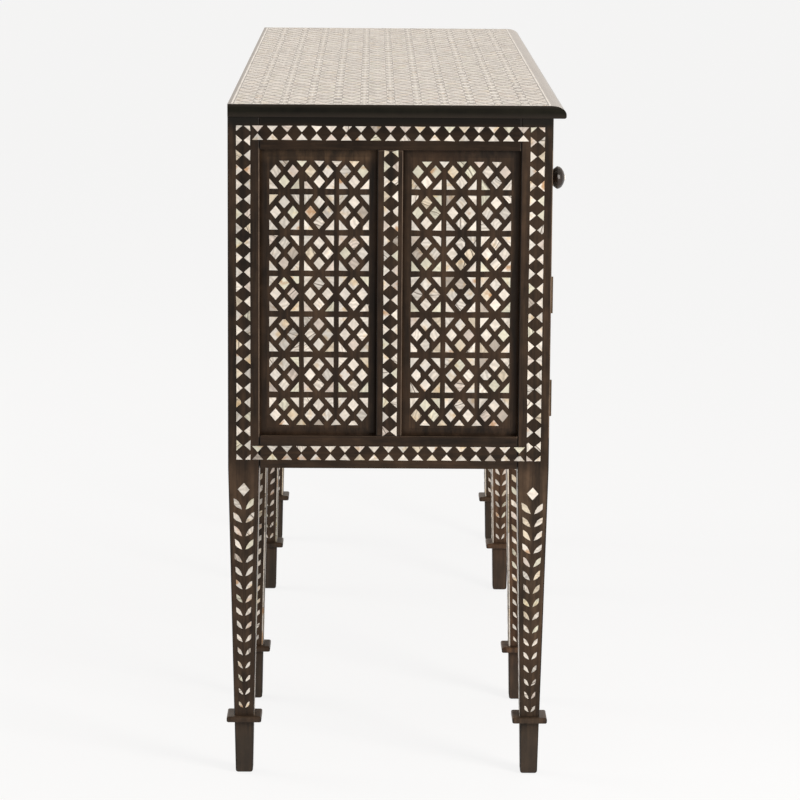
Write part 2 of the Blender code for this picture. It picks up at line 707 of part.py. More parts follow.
def make_post_leaf(name, x, y, z, post_face, towards_door, post, material, parent):
    """The fixed leaf: plate, two outer knuckles and the pin between them, let into the post."""
    half = HINGE_HEIGHT / 2
    gap = HINGE_KNUCKLE_HEIGHT / 2 + CLEARANCE
    near, deep = leaf_span(post_face, -towards_door)
    past_barrel = BARREL_RADIUS + CLEARANCE
    leaf = make_box(name, (near, y + past_barrel, z - half), (deep, y + LEAF_DEPTH, z + half), material, parent)
    barrel = bmesh.new()
    for low, high in ((z - half, z - gap), (z + gap, z + half)):
        add_box(barrel, (near, y, low), (deep, y + past_barrel + LEAF_THICKNESS, high))
        add_cylinder(barrel, x, y, low, high, BARREL_RADIUS)
    overlap = HINGE_KNUCKLE_HEIGHT / 4
    add_cylinder(barrel, x, y, z - gap - overlap, z + gap + overlap, PIN_RADIUS)
    combine(leaf, barrel, "UNION", "barrel")
    sockets.setdefault(post, []).append((
        (post_face + towards_door * CUT_OVERRUN, FRONT - CUT_OVERRUN, z - half - CLEARANCE),
        (deep - towards_door * CLEARANCE, y + LEAF_DEPTH + CLEARANCE, z + half + CLEARANCE)))
    round_sockets.setdefault(post, []).append((x, y, z))


def add_barrel_room(mesh, x, y, z):
    reach = HINGE_HEIGHT / 2 + CLEARANCE
    add_cylinder(mesh, x, y, z - reach, z + reach, BARREL_RADIUS + 2 * CLEARANCE)


def add_door_leaves(frame, x, y, heights, door_face, towards_door):
    """Let the moving leaves into the door's edge, each with a middle knuckle bored for the pin."""
    half = HINGE_HEIGHT / 2
    reach = HINGE_KNUCKLE_HEIGHT / 2
    near, deep = leaf_span(door_face, towards_door)
    past_barrel = BARREL_RADIUS + CLEARANCE
    room = bmesh.new()
    leaves = bmesh.new()
    bores = bmesh.new()
    for z in heights:
        add_barrel_room(room, x, y, z)
        add_box(leaves, (near, y + past_barrel + CLEARANCE, z - half), (deep, y + LEAF_DEPTH, z + half))
        add_box(leaves, (near, y, z - reach), (deep, y + past_barrel + LEAF_THICKNESS, z + reach))
        add_cylinder(leaves, x, y, z - reach, z + reach, BARREL_RADIUS)
        add_cylinder(bores, x, y, z - reach - CUT_OVERRUN, z + reach + CUT_OVERRUN, PIN_RADIUS + PIN_CLEARANCE)
    combine(frame, room, "DIFFERENCE", "barrel_room")
    combine(frame, leaves, "UNION", "leaves")
    combine(frame, bores, "DIFFERENCE", "pin_bores")


def cut_sockets(pieces):
    for name, boxes in sockets.items():
        carve(pieces[name], boxes)
    for name, places in round_sockets.items():
        room = bmesh.new()
        for x, y, z in places:
            add_barrel_room(room, x, y, z)
        combine(pieces[name], room, "DIFFERENCE", "barrel_room")


def clear_scene():
    for item in list(bpy.data.objects):
        bpy.data.objects.remove(item, do_unlink=True)


def main():
    clear_scene()
    materials = make_materials()
    cabinet = add_empty("cabinet", (0.0, ORIGIN_SHIFT, 0.0))
    pieces = make_posts(materials["case"], cabinet)
    for side, sign in (("left", -1), ("right", 1)):
        pieces.update(make_end(side, sign, materials, cabinet))
    pieces.update(make_front_frame(materials["case"], cabinet))
    pieces.update(make_partitions(materials["inside"], cabinet))
    make_bottom_board(materials["inside"], cabinet)
    make_back_board(materials["case"], cabinet)
    make_top(materials["top"], cabinet)
    for bay in BAYS:
        make_drawer(bay, materials, cabinet)
    for name, left, right, hinge_side, post in door_list():
        make_door(name, left, right, hinge_side, post, materials, cabinet)
    cut_sockets(pieces)


main()
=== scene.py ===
"""Looks of an inlaid sideboard: dark wood, mother-of-pearl inlay, aged brass, light and camera.

Lengths are in metres and angles in radians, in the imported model's own frame: the end that the
camera faces is at the lowest X, and the front is at the lowest Y.
"""

import math
import random

import bpy
from mathutils import Matrix, Vector


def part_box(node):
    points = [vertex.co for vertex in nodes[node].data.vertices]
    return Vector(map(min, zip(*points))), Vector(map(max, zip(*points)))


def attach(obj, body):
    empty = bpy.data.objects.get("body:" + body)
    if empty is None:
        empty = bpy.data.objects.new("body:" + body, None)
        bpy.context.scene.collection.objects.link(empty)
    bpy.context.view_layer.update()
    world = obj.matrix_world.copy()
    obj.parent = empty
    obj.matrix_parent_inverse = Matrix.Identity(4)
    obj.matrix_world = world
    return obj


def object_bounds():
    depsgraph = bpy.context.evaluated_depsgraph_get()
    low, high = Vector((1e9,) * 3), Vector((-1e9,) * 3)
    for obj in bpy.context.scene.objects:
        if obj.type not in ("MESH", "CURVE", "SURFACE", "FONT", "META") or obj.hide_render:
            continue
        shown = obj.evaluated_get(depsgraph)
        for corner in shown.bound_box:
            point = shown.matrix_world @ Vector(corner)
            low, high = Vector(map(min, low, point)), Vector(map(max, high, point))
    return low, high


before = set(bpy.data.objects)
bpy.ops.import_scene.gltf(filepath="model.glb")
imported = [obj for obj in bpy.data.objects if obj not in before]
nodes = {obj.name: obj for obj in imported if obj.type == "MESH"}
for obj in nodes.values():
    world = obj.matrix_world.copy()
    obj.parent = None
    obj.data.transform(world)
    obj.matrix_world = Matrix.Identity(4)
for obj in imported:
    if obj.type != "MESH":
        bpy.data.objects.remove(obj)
cad_low, cad_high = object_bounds()
chance = random.Random(1847)

# Camera, from the outline of the object in an image 800 pixels wide and high.
IMAGE_WIDTH = 800.0
FOCAL_PIXELS = 3415.0
SENSOR_WIDTH = 36.0
CAMERA_PLACE = Vector((-5.1397, 0.0346, 1.2771))
CAMERA_YAW = 0.0084
CAMERA_PITCH = 0.1737
CAMERA_ROLL = -0.0069

# Light and surroundings.
FLOOR_RADIUS = 60.0
FLOOR_COLOUR = (0.88, 0.88, 0.88, 1.0)
FLOOR_SEEN = 1.0
FLOOR_WHITENED = 0.83
FLOOR_ROUGHNESS = 0.9
FLOOR_SPECULAR = 0.1
WHITE = (1.0, 1.0, 1.0, 1.0)
WARM_WHITE = (1.0, 0.955, 0.905, 1.0)
SKY_SEEN = 0.97
SKY_LIGHT = 0.46
SKY_SLOPE = (0.0, -0.06, 0.06)
MIRRORED = (1.020, 0.935, 0.848, 1.0)
KEY_PLACE = Vector((-2.4, -1.9, 1.35))
KEY_POWER = 62.0
KEY_SIZE = 0.9
FILL_PLACE = Vector((0.9, 3.4, 1.5))
FILL_POWER = 60.0
FILL_SIZE = 2.0
AIM_POINT = Vector((0.0, 0.0, 0.55))

# Wood: darkest streaks, lightest streaks, and the redder wood that shows in worn patches.
CASE_DARK = (0.0105, 0.0064, 0.0039, 1.0)
CASE_LIGHT = (0.0350, 0.0208, 0.0123, 1.0)
CASE_RED = (0.0500, 0.0270, 0.0145, 1.0)
# Lighter copies for the front posts and the inner front posts: painted light where the lamp falls on
# them.
LIT_POST_DARK = (0.0135, 0.0083, 0.0051, 1.0)
LIT_POST_LIGHT = (0.0450, 0.0270, 0.0160, 1.0)
LIT_INNER_DARK = (0.0225, 0.0115, 0.0064, 1.0)
LIT_INNER_LIGHT = (0.0700, 0.0370, 0.0205, 1.0)
# A lighter copy for the panels' flat fields, so that the sunk margins round them read darker: painted
# shade.
LIT_FIELD_DARK = (0.0142, 0.0086, 0.0053, 1.0)
LIT_FIELD_LIGHT = (0.0470, 0.0280, 0.0166, 1.0)
# A darker copy for the ends' top rails: painted shade under the top.
SHADED_RAIL_DARK = (0.0084, 0.0051, 0.0031, 1.0)
SHADED_RAIL_LIGHT = (0.0280, 0.0166, 0.0098, 1.0)
# The top, the knobs and the inside.
TOP_DARK = (0.0100, 0.0066, 0.0050, 1.0)
TOP_LIGHT = (0.0240, 0.0155, 0.0110, 1.0)
KNOB_DARK = (0.0080, 0.0050, 0.0038, 1.0)
KNOB_LIGHT = (0.0260, 0.0150, 0.0100, 1.0)
INSIDE_DARK = (0.1050, 0.0560, 0.0290, 1.0)
INSIDE_LIGHT = (0.2100, 0.1220, 0.0660, 1.0)
INSIDE_RED = (0.1700, 0.0800, 0.0360, 1.0)
# Colour of the painted highlight on eased edges.
EDGE_HIGHLIGHT = (0.1480, 0.1030, 0.0720, 1.0)
# Tones by height: where each begins and is full, its share, its colour and how it is laid on.
# Legs are paler than the body and the feet paler and greyer still, painted light from below;
# just under the top the wood is darker, painted shade.
LEG_PAINTED_LIGHT = (1.80, 1.90, 2.00, 1.0)
LEG_HEIGHTS = (0.425, 0.400)
UNDER_TOP_SHADE = (0.0045, 0.0039, 0.0026, 1.0)
UNDER_TOP_SHADE_HEIGHTS = (0.858, 0.869)
UNDER_TOP_SHADE_SHARE = 0.92
FOOT_PAINTED_LIGHT = (0.0400, 0.0335, 0.0270, 1.0)
FOOT_PAINTED_LIGHT_HEIGHTS = (0.085, 0.045)
FOOT_PAINTED_LIGHT_SHARE = 0.55
PAINTED_LIGHT_BY_HEIGHT = (
    (LEG_HEIGHTS, 1.0, LEG_PAINTED_LIGHT, "MULTIPLY"),
    (UNDER_TOP_SHADE_HEIGHTS, UNDER_TOP_SHADE_SHARE, UNDER_TOP_SHADE, "MIX"),
    (FOOT_PAINTED_LIGHT_HEIGHTS, FOOT_PAINTED_LIGHT_SHARE, FOOT_PAINTED_LIGHT, "MIX"),
)
# The end of the top is darker, painted shade, with painted highlights along its upper and lower edges.
# Some panels are rubbed lighter at their upper margin.
END_SHADED_DARK = (0.0060, 0.0056, 0.0036, 1.0)
END_SHADED_LIGHT = (0.0105, 0.0094, 0.0058, 1.0)
END_HIGHLIGHT = (0.0245, 0.0197, 0.0161, 1.0)
END_HIGHLIGHT_UPPER = (0.8875, 0.8910)
END_HIGHLIGHT_LOWER = (0.8830, 0.8770)
END_HIGHLIGHT_SHARE = 0.80
TOP_END_HIGHLIGHTS = (
    (END_HIGHLIGHT_UPPER, END_HIGHLIGHT_SHARE, END_HIGHLIGHT, "MIX"),
    (END_HIGHLIGHT_LOWER, END_HIGHLIGHT_SHARE, END_HIGHLIGHT, "MIX"),
)
MARGIN_GAIN = (1.75, 1.78, 1.66, 1.0)
MARGIN_HEIGHTS = (0.815, 0.822)
MARGIN_TONES = PAINTED_LIGHT_BY_HEIGHT + ((MARGIN_HEIGHTS, 1.0, MARGIN_GAIN, "MULTIPLY"),)
# Patterns in the wood: scales, the range over which each comes in, and shares.
GRAIN_STRETCH = 0.07
STREAK_SCALE = 95.0
STREAK_RANGE = (0.37, 0.64)
PORE_SCALE = 620.0
PORE_RANGE = (0.60, 0.74)
PORE_DEPTH = (0.55, 0.55, 0.55, 1.0)
PORE_RELIEF = 0.5
GRAIN_BUMP = (0.10, 0.0006)
PATCH_SCALE = 9.0
PATCH_RANGE = (0.50, 0.78)
PATCH_SHARE = 0.6
KNOB_PATCH_SHARE = 0.25
MOTTLE_SCALE = 48.0
MOTTLE_RANGE = (0.32, 0.68)
MOTTLE_SHARE = 0.30
MOTTLE_GAIN = (2.0, 2.0, 2.0, 1.0)
JOINT_LINE = 0.00025
# Painted highlight on eased edges: only between the rails, on the sides that look this way, in patches.
HIGHLIT_EDGE_SIDE = (0.0, -0.8, 0.6)
HIGHLIT_EDGE_SIDE_RANGE = (0.10, 0.40)
EDGE_HIGHLIGHT_SCALE = 26.0
EDGE_HIGHLIGHT_RANGE = (0.22, 0.54)
EDGE_HIGHLIGHT_RUNOUT = 0.003
# Gloss of the woods: the roughness of dark and light streaks, and the other values that they need.
CASE_ROUGHNESS = (0.30, 0.48)
CASE_SPECULAR = 0.155
RAIL_SPECULAR = 0.115
DOOR_SPECULAR = 0.20
TOP_ROUGHNESS = (0.16, 0.26)
TOP_SPECULAR = 0.45
TOP_END_SPECULAR = 0.08
MOULDING_ROUGHNESS = (0.20, 0.32)
MOULDING_GLOSS = {"specular": 0.50, "coat": 0.5, "coat_roughness": 0.15}
INSIDE_ROUGHNESS = (0.50, 0.66)
INSIDE_SPECULAR = 0.25
KNOB_ROUGHNESS = (0.22, 0.34)
KNOB_SPECULAR = 0.38
EDGE_ROUGHNESS = 0.34
EDGE_SPECULAR = 0.22

# Aged brass.
BRASS_BRIGHT = (0.1250, 0.0780, 0.0420, 1.0)
BRASS_DULL = (0.0360, 0.0235, 0.0145, 1.0)
BRASS_METALLIC = 0.85
BRASS_ROUGHNESS = (0.52, 0.30)
TARNISH_SCALE = 170.0
TARNISH_RANGE = (0.36, 0.66)
TARNISH_BUMP = (0.15, 0.0004)

# Mother-of-pearl: how common each tint is, and its colour.
PEARL_TINTS = (
    (0.42, (0.715, 0.665, 0.600)),
    (0.28, (0.600, 0.570, 0.525)),
    (0.08, (0.590, 0.520, 0.465)),
    (0.08, (0.620, 0.545, 0.430)),
    (0.10, (0.600, 0.585, 0.480)),
    (0.04, (0.390, 0.345, 0.300)),
)
PEARL_SPREAD = 0.15
PEARL_BRIGHTEST = 0.95
BRIGHT_TINT = [0.950, 0.915, 0.860, 1.0]
SHELL_ROUGHNESS = (0.24, 0.40)
SHELL_GLOSS = {"specular": 0.45, "coat": 0.25, "coat_roughness": 0.12}
LACQUERED_ROUGHNESS = (0.16, 0.28)
LACQUERED_GLOSS = {"specular": 0.50, "coat": 0.32, "coat_roughness": 0.12}
# Growth lines, clouds and stains in a piece. Each piece turns the pattern its own way.
MOST_TURN = 6.0
LINE_SCALE = 58.0
LINE_WAVES = 11.0
LINE_STRENGTH = 0.13
LINE_BUMP = (0.06, 0.0003)
SMOKE = (0.58, 0.56, 0.54, 1.0)
CLOUD_SCALE = 120.0
CLOUD_RANGE = (0.42, 0.72)
CLOUD_GAIN = (1.22, 1.21, 1.19, 1.0)
BLOT_SCALE = 62.0
STAIN = (0.90, 0.77, 0.58, 1.0)
STAIN_RANGE = (0.56, 0.70)
# A few pieces are rusty in places and a few have dark veins, picked by their turn.
RUST = (0.420, 0.215, 0.090, 1.0)
RUST_RANGE = (0.54, 0.66)
RUST_SHARE = 0.75
RUSTY_BELOW = 0.75
VEIN = (0.070, 0.050, 0.036, 1.0)
VEIN_SHARE = 0.85
VEIN_SCALE = 26.0
VEIN_WAVES = 4.0
VEIN_RANGE = (0.975, 0.995)
VEINED_ABOVE = 4.7

# Inlay pieces: how far they stand out of the wood and reach into it, and how uneven they are.
INLAY_PROUD = 0.00016
INLAY_SUNK = 0.00030
INLAY_EDGE = 0.00016
INLAY_JITTER = 0.00022
INLAY_TILT = math.radians(1.3)
CHIP_SHARE = 0.07
CHIP_LEAST = 0.16
CHIP_MOST = 0.34

# Sockets of a surface whose names differ from the short ones used here.
SOCKETS = {
    "colour": "Base Color",
    "specular": "Specular IOR Level",
    "coat": "Coat Weight",
}
# Places of a Mix node's two inputs and of its output, by the kind of data.
MIX_SOCKETS = {"RGBA": (6, 7, 2), "VECTOR": (4, 5, 1)}


class Nodes:
    """A node tree, with short calls for adding nodes and joining their sockets."""

    def __init__(self, tree):
        self.tree = tree

    def node(self, kind, settings=(), **inputs):
        made = self.tree.nodes.new(kind)
        for key, value in dict(settings).items():
            setattr(made, key, value)
        for key, value in inputs.items():
            self.feed(made.inputs[key.replace("_", " ").title()], value)
        return made

    def feed(self, socket, value):
        if isinstance(value, bpy.types.NodeSocket):
            self.tree.links.new(value, socket)
        else:
            socket.default_value = value

    def calc(self, operation, first, second=0.0, kind="ShaderNodeMath"):
        made = self.node(kind, {"operation": operation})
        self.feed(made.inputs[0], first)
        self.feed(made.inputs[1], second)
        return made.outputs["Value"]

    def facing(self, direction, way):
        """How far a direction looks along a fixed way."""
        return self.calc("DOT_PRODUCT", direction, way, "ShaderNodeVectorMath")

    def mix_shaders(self, share, first, second):
        made = self.node("ShaderNodeMixShader")
        for socket, value in zip(made.inputs, (share, first.outputs[0], second.outputs[0])):
            self.feed(socket, value)
        return made


class Shader(Nodes):
    """The nodes of a material."""

    def __init__(self, name):
        self.material = bpy.data.materials.new(name)
        self.material.use_nodes = True
        super().__init__(self.material.node_tree)
        self.surface = self.tree.nodes["Principled BSDF"]

    def sheen(self, **values):
        """Sets the surface's own sockets, by their names in lower case."""
        for key, value in values.items():
            self.feed(self.surface.inputs[SOCKETS.get(key, key.replace("_", " ").title())], value)

    def mix(self, share, first, second, blend="MIX", kind="RGBA"):
        made = self.node("ShaderNodeMix", {"data_type": kind, "blend_type": blend})
        into_first, into_second, result = MIX_SOCKETS[kind]
        self.feed(made.inputs["Factor"], share)
        self.feed(made.inputs[into_first], first)
        self.feed(made.inputs[into_second], second)
        return made.outputs[result]

    def ramp(self, value, low, high, first=(0.0, 0.0, 0.0, 1.0), last=(1.0, 1.0, 1.0, 1.0)):
        made = self.node("ShaderNodeValToRGB", fac=value)
        made.color_ramp.elements[0].position = low
        made.color_ramp.elements[0].color = first
        made.color_ramp.elements[1].position = high
        made.color_ramp.elements[1].color = last
        return made.outputs["Color"]

    def spread(self, value, low, high):
        """Spreads a 0 to 1 value over low to high."""
        made = self.node("ShaderNodeMapRange", value=value)
        made.inputs["To Min"].default_value = low
        made.inputs["To Max"].default_value = high
        return made.outputs["Result"]

    def rise(self, places, heights, share):
        """Grows from nothing at the first height to a share at the second."""
        height = self.node("ShaderNodeSeparateXYZ", vector=places).outputs["Z"]
        made = self.node("ShaderNodeMapRange", value=height)
        made.inputs["From Min"].default_value, made.inputs["From Max"].default_value = heights
        made.inputs["To Max"].default_value = share
        return made.outputs["Result"]

    def noise(self, vector, scale, detail=4.0, roughness=0.55, distortion=0.0):
        made = self.node("ShaderNodeTexNoise", vector=vector, scale=scale, detail=detail,
                         roughness=roughness, distortion=distortion)
        return made.outputs["Fac"]

    def places(self):
        return self.node("ShaderNodeTexCoord").outputs["Object"]

    def scaled(self, vector, scale):
        return self.node("ShaderNodeMapping", vector=vector, scale=scale).outputs["Vector"]

    def bump(self, height, strength, distance):
        made = self.node("ShaderNodeBump", height=height, strength=strength, distance=distance)
        self.feed(self.surface.inputs["Normal"], made.outputs["Normal"])


def grain_scale(axis):
    """Squeezes a pattern across the grain, so that it runs along the given axis."""
    return tuple(GRAIN_STRETCH if index == axis else 1.0 for index in range(3))


def wood(name, dark, light, red, axis, patches=PATCH_SHARE, rails=None, tones=PAINTED_LIGHT_BY_HEIGHT,
         roughness=CASE_ROUGHNESS, **gloss):
    """Streaky wood with its grain along an axis. Between the X limits in rails it runs along X."""
    made = Shader(name)
    places = made.places()
    lengthways = made.scaled(places, grain_scale(axis))
    if rails:
        lengthways, joint = turned_grain(made, places, lengthways, rails)
    streaks = made.noise(lengthways, STREAK_SCALE, detail=6.0, roughness=0.62, distortion=0.35)
    pores = made.noise(lengthways, PORE_SCALE, detail=3.0)
    clouds = made.noise(places, PATCH_SCALE, detail=5.0, roughness=0.6)
    colour = made.ramp(streaks, *STREAK_RANGE, dark, light)
    mottle = made.ramp(made.noise(places, MOTTLE_SCALE), *MOTTLE_RANGE, last=MOTTLE_GAIN)
    colour = made.mix(MOTTLE_SHARE, colour, mottle, "MULTIPLY")
    worn = made.calc("MULTIPLY", made.ramp(clouds, *PATCH_RANGE), patches)
    colour = made.mix(worn, colour, red)
    colour = made.mix(made.ramp(pores, *PORE_RANGE, last=PORE_DEPTH), colour, dark)
    if rails:
        colour = made.mix(joint, colour, dark)
    for heights, share, tone, laid in tones:
        colour = made.mix(made.rise(places, heights, share), colour, tone, laid)
    made.sheen(colour=colour, roughness=made.spread(streaks, *roughness), **gloss)
    made.bump(made.calc("ADD", streaks, made.calc("MULTIPLY", pores, PORE_RELIEF)), *GRAIN_BUMP)
    return made.material


def turned_grain(made, places, upright, rails):
    """Grain along X between two X limits, and a fine line at the joints there."""
    across = made.scaled(places, grain_scale(0))
    x = made.node("ShaderNodeSeparateXYZ", vector=places).outputs["X"]
    off = made.calc("ABSOLUTE", made.calc("SUBTRACT", x, sum(rails) / 2))
    half = (rails[1] - rails[0]) / 2
    inside = made.calc("LESS_THAN", off, half)
    from_joint = made.calc("ABSOLUTE", made.calc("SUBTRACT", off, half))
    joint = made.calc("LESS_THAN", from_joint, JOINT_LINE)
    return made.mix(inside, upright, across, kind="VECTOR"), joint


def painted_edge_highlight():
    """Painted highlight on eased edges, in patches, on sides facing the front and up, between the rails.
    """
    made = Shader("painted_edge_highlight")
    places = made.places()
    lightened = made.ramp(made.noise(places, EDGE_HIGHLIGHT_SCALE, detail=6.0, roughness=0.65), *EDGE_HIGHLIGHT_RANGE)
    side = made.facing(made.node("ShaderNodeNewGeometry").outputs["True Normal"], HIGHLIT_EDGE_SIDE)
    lightened = made.calc("MULTIPLY", lightened, made.ramp(side, *HIGHLIT_EDGE_SIDE_RANGE))
    above = made.rise(places, (BOTTOM_RAIL_TOP - EDGE_HIGHLIGHT_RUNOUT, BOTTOM_RAIL_TOP), 1.0)
    below = made.rise(places, (TOP_RAIL_BOTTOM + EDGE_HIGHLIGHT_RUNOUT, TOP_RAIL_BOTTOM), 1.0)
    lightened = made.calc("MULTIPLY", lightened, made.calc("MULTIPLY", above, below))
    made.sheen(colour=made.mix(lightened, CASE_DARK, EDGE_HIGHLIGHT), roughness=EDGE_ROUGHNESS,
               specular=EDGE_SPECULAR)
    return made.material


def pearl(name, roughness, **gloss):
    """Shell with its piece's own tint, crossed by wavy growth lines that turn from piece to piece."""
    made = Shader(name)
    tint = made.node("ShaderNodeAttribute", {"attribute_name": "tint"}).outputs["Color"]
    growth = made.node("ShaderNodeAttribute", {"attribute_name": "growth"}).outputs["Vector"]
    turn = made.node("ShaderNodeVectorRotate", {"rotation_type": "EULER_XYZ"}, vector=made.places(),
                     rotation=growth).outputs["Vector"]
    lines = made.node("ShaderNodeTexWave", vector=turn, scale=LINE_SCALE, distortion=LINE_WAVES,
                      detail=3.0).outputs["Fac"]
    clouds = made.noise(turn, CLOUD_SCALE, detail=4.0)
    blots = made.noise(turn, BLOT_SCALE, detail=3.0)
    own = made.node("ShaderNodeSeparateXYZ", vector=growth).outputs["Z"]
    strength = made.calc("MULTIPLY", own, LINE_STRENGTH)
    smoky = made.mix(1.0, tint, SMOKE, "MULTIPLY")
    colour = made.mix(made.calc("MULTIPLY", lines, strength), tint, smoky)
    lift = made.mix(1.0, colour, CLOUD_GAIN, "MULTIPLY")
    colour = made.mix(made.ramp(clouds, *CLOUD_RANGE), colour, lift)
    stained = made.mix(1.0, colour, STAIN, "MULTIPLY")
    colour = made.mix(made.ramp(blots, *STAIN_RANGE), colour, stained)
    rusty = made.calc("LESS_THAN", own, RUSTY_BELOW)
    rusty = made.calc("MULTIPLY", made.ramp(blots, *RUST_RANGE), rusty)
    colour = made.mix(made.calc("MULTIPLY", rusty, RUST_SHARE), colour, RUST)
    veins = made.node("ShaderNodeTexWave", vector=turn, scale=VEIN_SCALE, distortion=VEIN_WAVES,
                      detail=2.0).outputs["Fac"]
    veined = made.calc("GREATER_THAN", own, VEINED_ABOVE)
    veined = made.calc("MULTIPLY", made.ramp(veins, *VEIN_RANGE), veined)
    colour = made.mix(made.calc("MULTIPLY", veined, VEIN_SHARE), colour, VEIN)
    made.sheen(colour=colour, roughness=made.spread(clouds, *roughness), **gloss)
    made.bump(lines, *LINE_BUMP)
    return made.material


def aged_brass():
    made = Shader("aged_brass")
    places = made.places()
    tarnish = made.noise(places, TARNISH_SCALE, detail=6.0, roughness=0.65)
    made.sheen(colour=made.ramp(tarnish, *TARNISH_RANGE, BRASS_DULL, BRASS_BRIGHT),
               metallic=BRASS_METALLIC, roughness=made.spread(tarnish, *BRASS_ROUGHNESS))
    made.bump(tarnish, *TARNISH_BUMP)
    return made.material


class Place:
    """A flat patch of wood: a point on it, and the directions right, up and out of it."""

    def __init__(self, origin, right, up):
        self.origin = Vector(origin)
        self.right = Vector(right).normalized()
        self.up = Vector(up).normalized()
        self.out = self.right.cross(self.up)

    def at(self, x, y, height=0.0):
        return self.origin + self.right * x + self.up * y + self.out * height


def pick_tint():
    """A tint from the list, a little lighter or darker than listed."""
    roll = chance.random()
    for share, colour in PEARL_TINTS:
        if roll < share:
            break
        roll -= share
    level = 1.0 + chance.uniform(-PEARL_SPREAD, PEARL_SPREAD)
    return [min(channel * level, PEARL_BRIGHTEST) for channel in colour] + [1.0]


def middle(outline):
    count = len(outline)
    return sum(x for x, _ in outline) / count, sum(y for _, y in outline) / count


def uneven(outline):
    """The outline as a hand would cut it: slightly turned, with corners a little off."""
    middle_x, middle_y = middle(outline)
    angle = chance.uniform(-INLAY_TILT, INLAY_TILT)
    cosine, sine = math.cos(angle), math.sin(angle)
    moved = []
    for x, y in outline:
        off_x, off_y = x - middle_x, y - middle_y
        moved.append((
            middle_x + off_x * cosine - off_y * sine + chance.uniform(-INLAY_JITTER, INLAY_JITTER),
            middle_y + off_x * sine + off_y * cosine + chance.uniform(-INLAY_JITTER, INLAY_JITTER),
        ))
    return moved


def between(first, second, share):
    return first[0] + (second[0] - first[0]) * share, first[1] + (second[1] - first[1]) * share


def chipped(outline):
    """The outline with one corner broken away."""
    index = chance.randrange(len(outline))
    corner = outline[index]
    before = between(corner, outline[index - 1], chance.uniform(CHIP_LEAST, CHIP_MOST))
    after = between(corner, outline[(index + 1) % len(outline)], chance.uniform(CHIP_LEAST, CHIP_MOST))
    return outline[:index] + [before, after] + outline[index + 1:]


def eased(outline):
    """The outline drawn in a little, for the worn upper edge of a piece."""
    middle_x, middle_y = middle(outline)
    drawn = []
    for x, y in outline:
        off_x, off_y = x - middle_x, y - middle_y
        inner = 1.0 - INLAY_EDGE / max(math.hypot(off_x, off_y), INLAY_EDGE * 2)
        drawn.append((middle_x + off_x * inner, middle_y + off_y * inner))
    return drawn


class Inlay:
    """Many small flat pieces of shell, gathered into one object that rides on a body."""

    def __init__(self, name, body, material, clear=()):
        self.name = name
        self.body = body
        self.material = material
        self.clear = clear
        self.points = []
        self.faces = []
        self.tints = []
        self.growths = []

    def add(self, place, outline, chips=CHIP_SHARE, tint=None):
        """Lets a piece into the wood, clear of the fittings. The outline runs anticlockwise."""
        centre = place.at(*middle(outline))
        if any((centre - point).length < radius for point, radius in self.clear):
            return
        outline = uneven(outline)
        if chance.random() < chips:
            outline = chipped(outline)
        self.add_exact(place, outline, tint)

    def add_exact(self, place, outline, tint=None):
        self.add_rings(place, ((outline, -INLAY_SUNK), (eased(outline), INLAY_PROUD)), tint)

    def add_rings(self, place, rings, tint=None):
        """Joins outlines at rising heights into one closed piece."""
        first = len(self.points)
        count = len(rings[0][0])
        for outline, height in rings:
            self.points.extend(place.at(x, y, height) for x, y in outline)
        for start in range(first, len(self.points) - count, count):
            for index in range(count):
                after = (index + 1) % count
                above = start + count
                self.faces.append((start + index, start + after, above + after, above + index))
        self.faces.append(tuple(range(len(self.points) - count, len(self.points))))
        self.faces.append(tuple(range(first + count - 1, first - 1, -1)))
        growth = tuple(chance.uniform(0, MOST_TURN) for _ in range(3))
        added = len(self.points) - first
        self.tints.extend((tint or pick_tint()) * added)
        self.growths.extend(growth * added)

    def finish(self):
        mesh = bpy.data.meshes.new(self.name)
        mesh.from_pydata(self.points, [], self.faces)
        mesh.attributes.new("tint", "FLOAT_COLOR", "POINT").data.foreach_set("color", self.tints)
        mesh.attributes.new("growth", "FLOAT_VECTOR", "POINT").data.foreach_set("vector", self.growths)
        mesh.materials.append(self.material)
        piece = bpy.data.objects.new(self.name, mesh)
        bpy.context.scene.collection.objects.link(piece)
        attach(piece, self.body)


# One lattice cell, as shares of its width and height from its middle.
LOZENGE_OFF = 0.25
LOZENGE_HALF = 0.160
CORNER_AT = 0.428
CORNER_LEG = 0.252
# How much of a cell is in a part row, and the small triangles along its outer edge.
PART_ROW = 0.75
EDGE_HALF = 0.146
EDGE_HEIGHT = 0.148

# Bands of paired triangles, as shares of the spacing of the pairs and of the band's width.
BAND_WIDTH = 0.0183
BAND_SPACING = 0.0190
BAND_BASE_HALF = 0.378
BAND_POINT_GAP = 0.100
BAND_MARGIN = 0.0110
WHOLE_ENDS = (0.5, 0.5)
HALF_ENDS = (0.0, 0.0)

# Thin lines of shell: the length of a piece, the gap to the next one, and how uneven the width is.
STRING_PIECE = 0.055
STRING_GAP = 0.0003
STRING_WOBBLE = 0.25


def lozenge(x, y, half_width, half_height):
    return [(x + half_width, y), (x, y + half_height), (x - half_width, y), (x, y - half_height)]


def corner_triangle(x, y, leg_x, leg_y):
    """A right-angled triangle with its square corner at a point and legs of signed length."""
    outline = [(x, y), (x + leg_x, y), (x, y + leg_y)]
    return outline if leg_x * leg_y > 0 else outline[::-1]


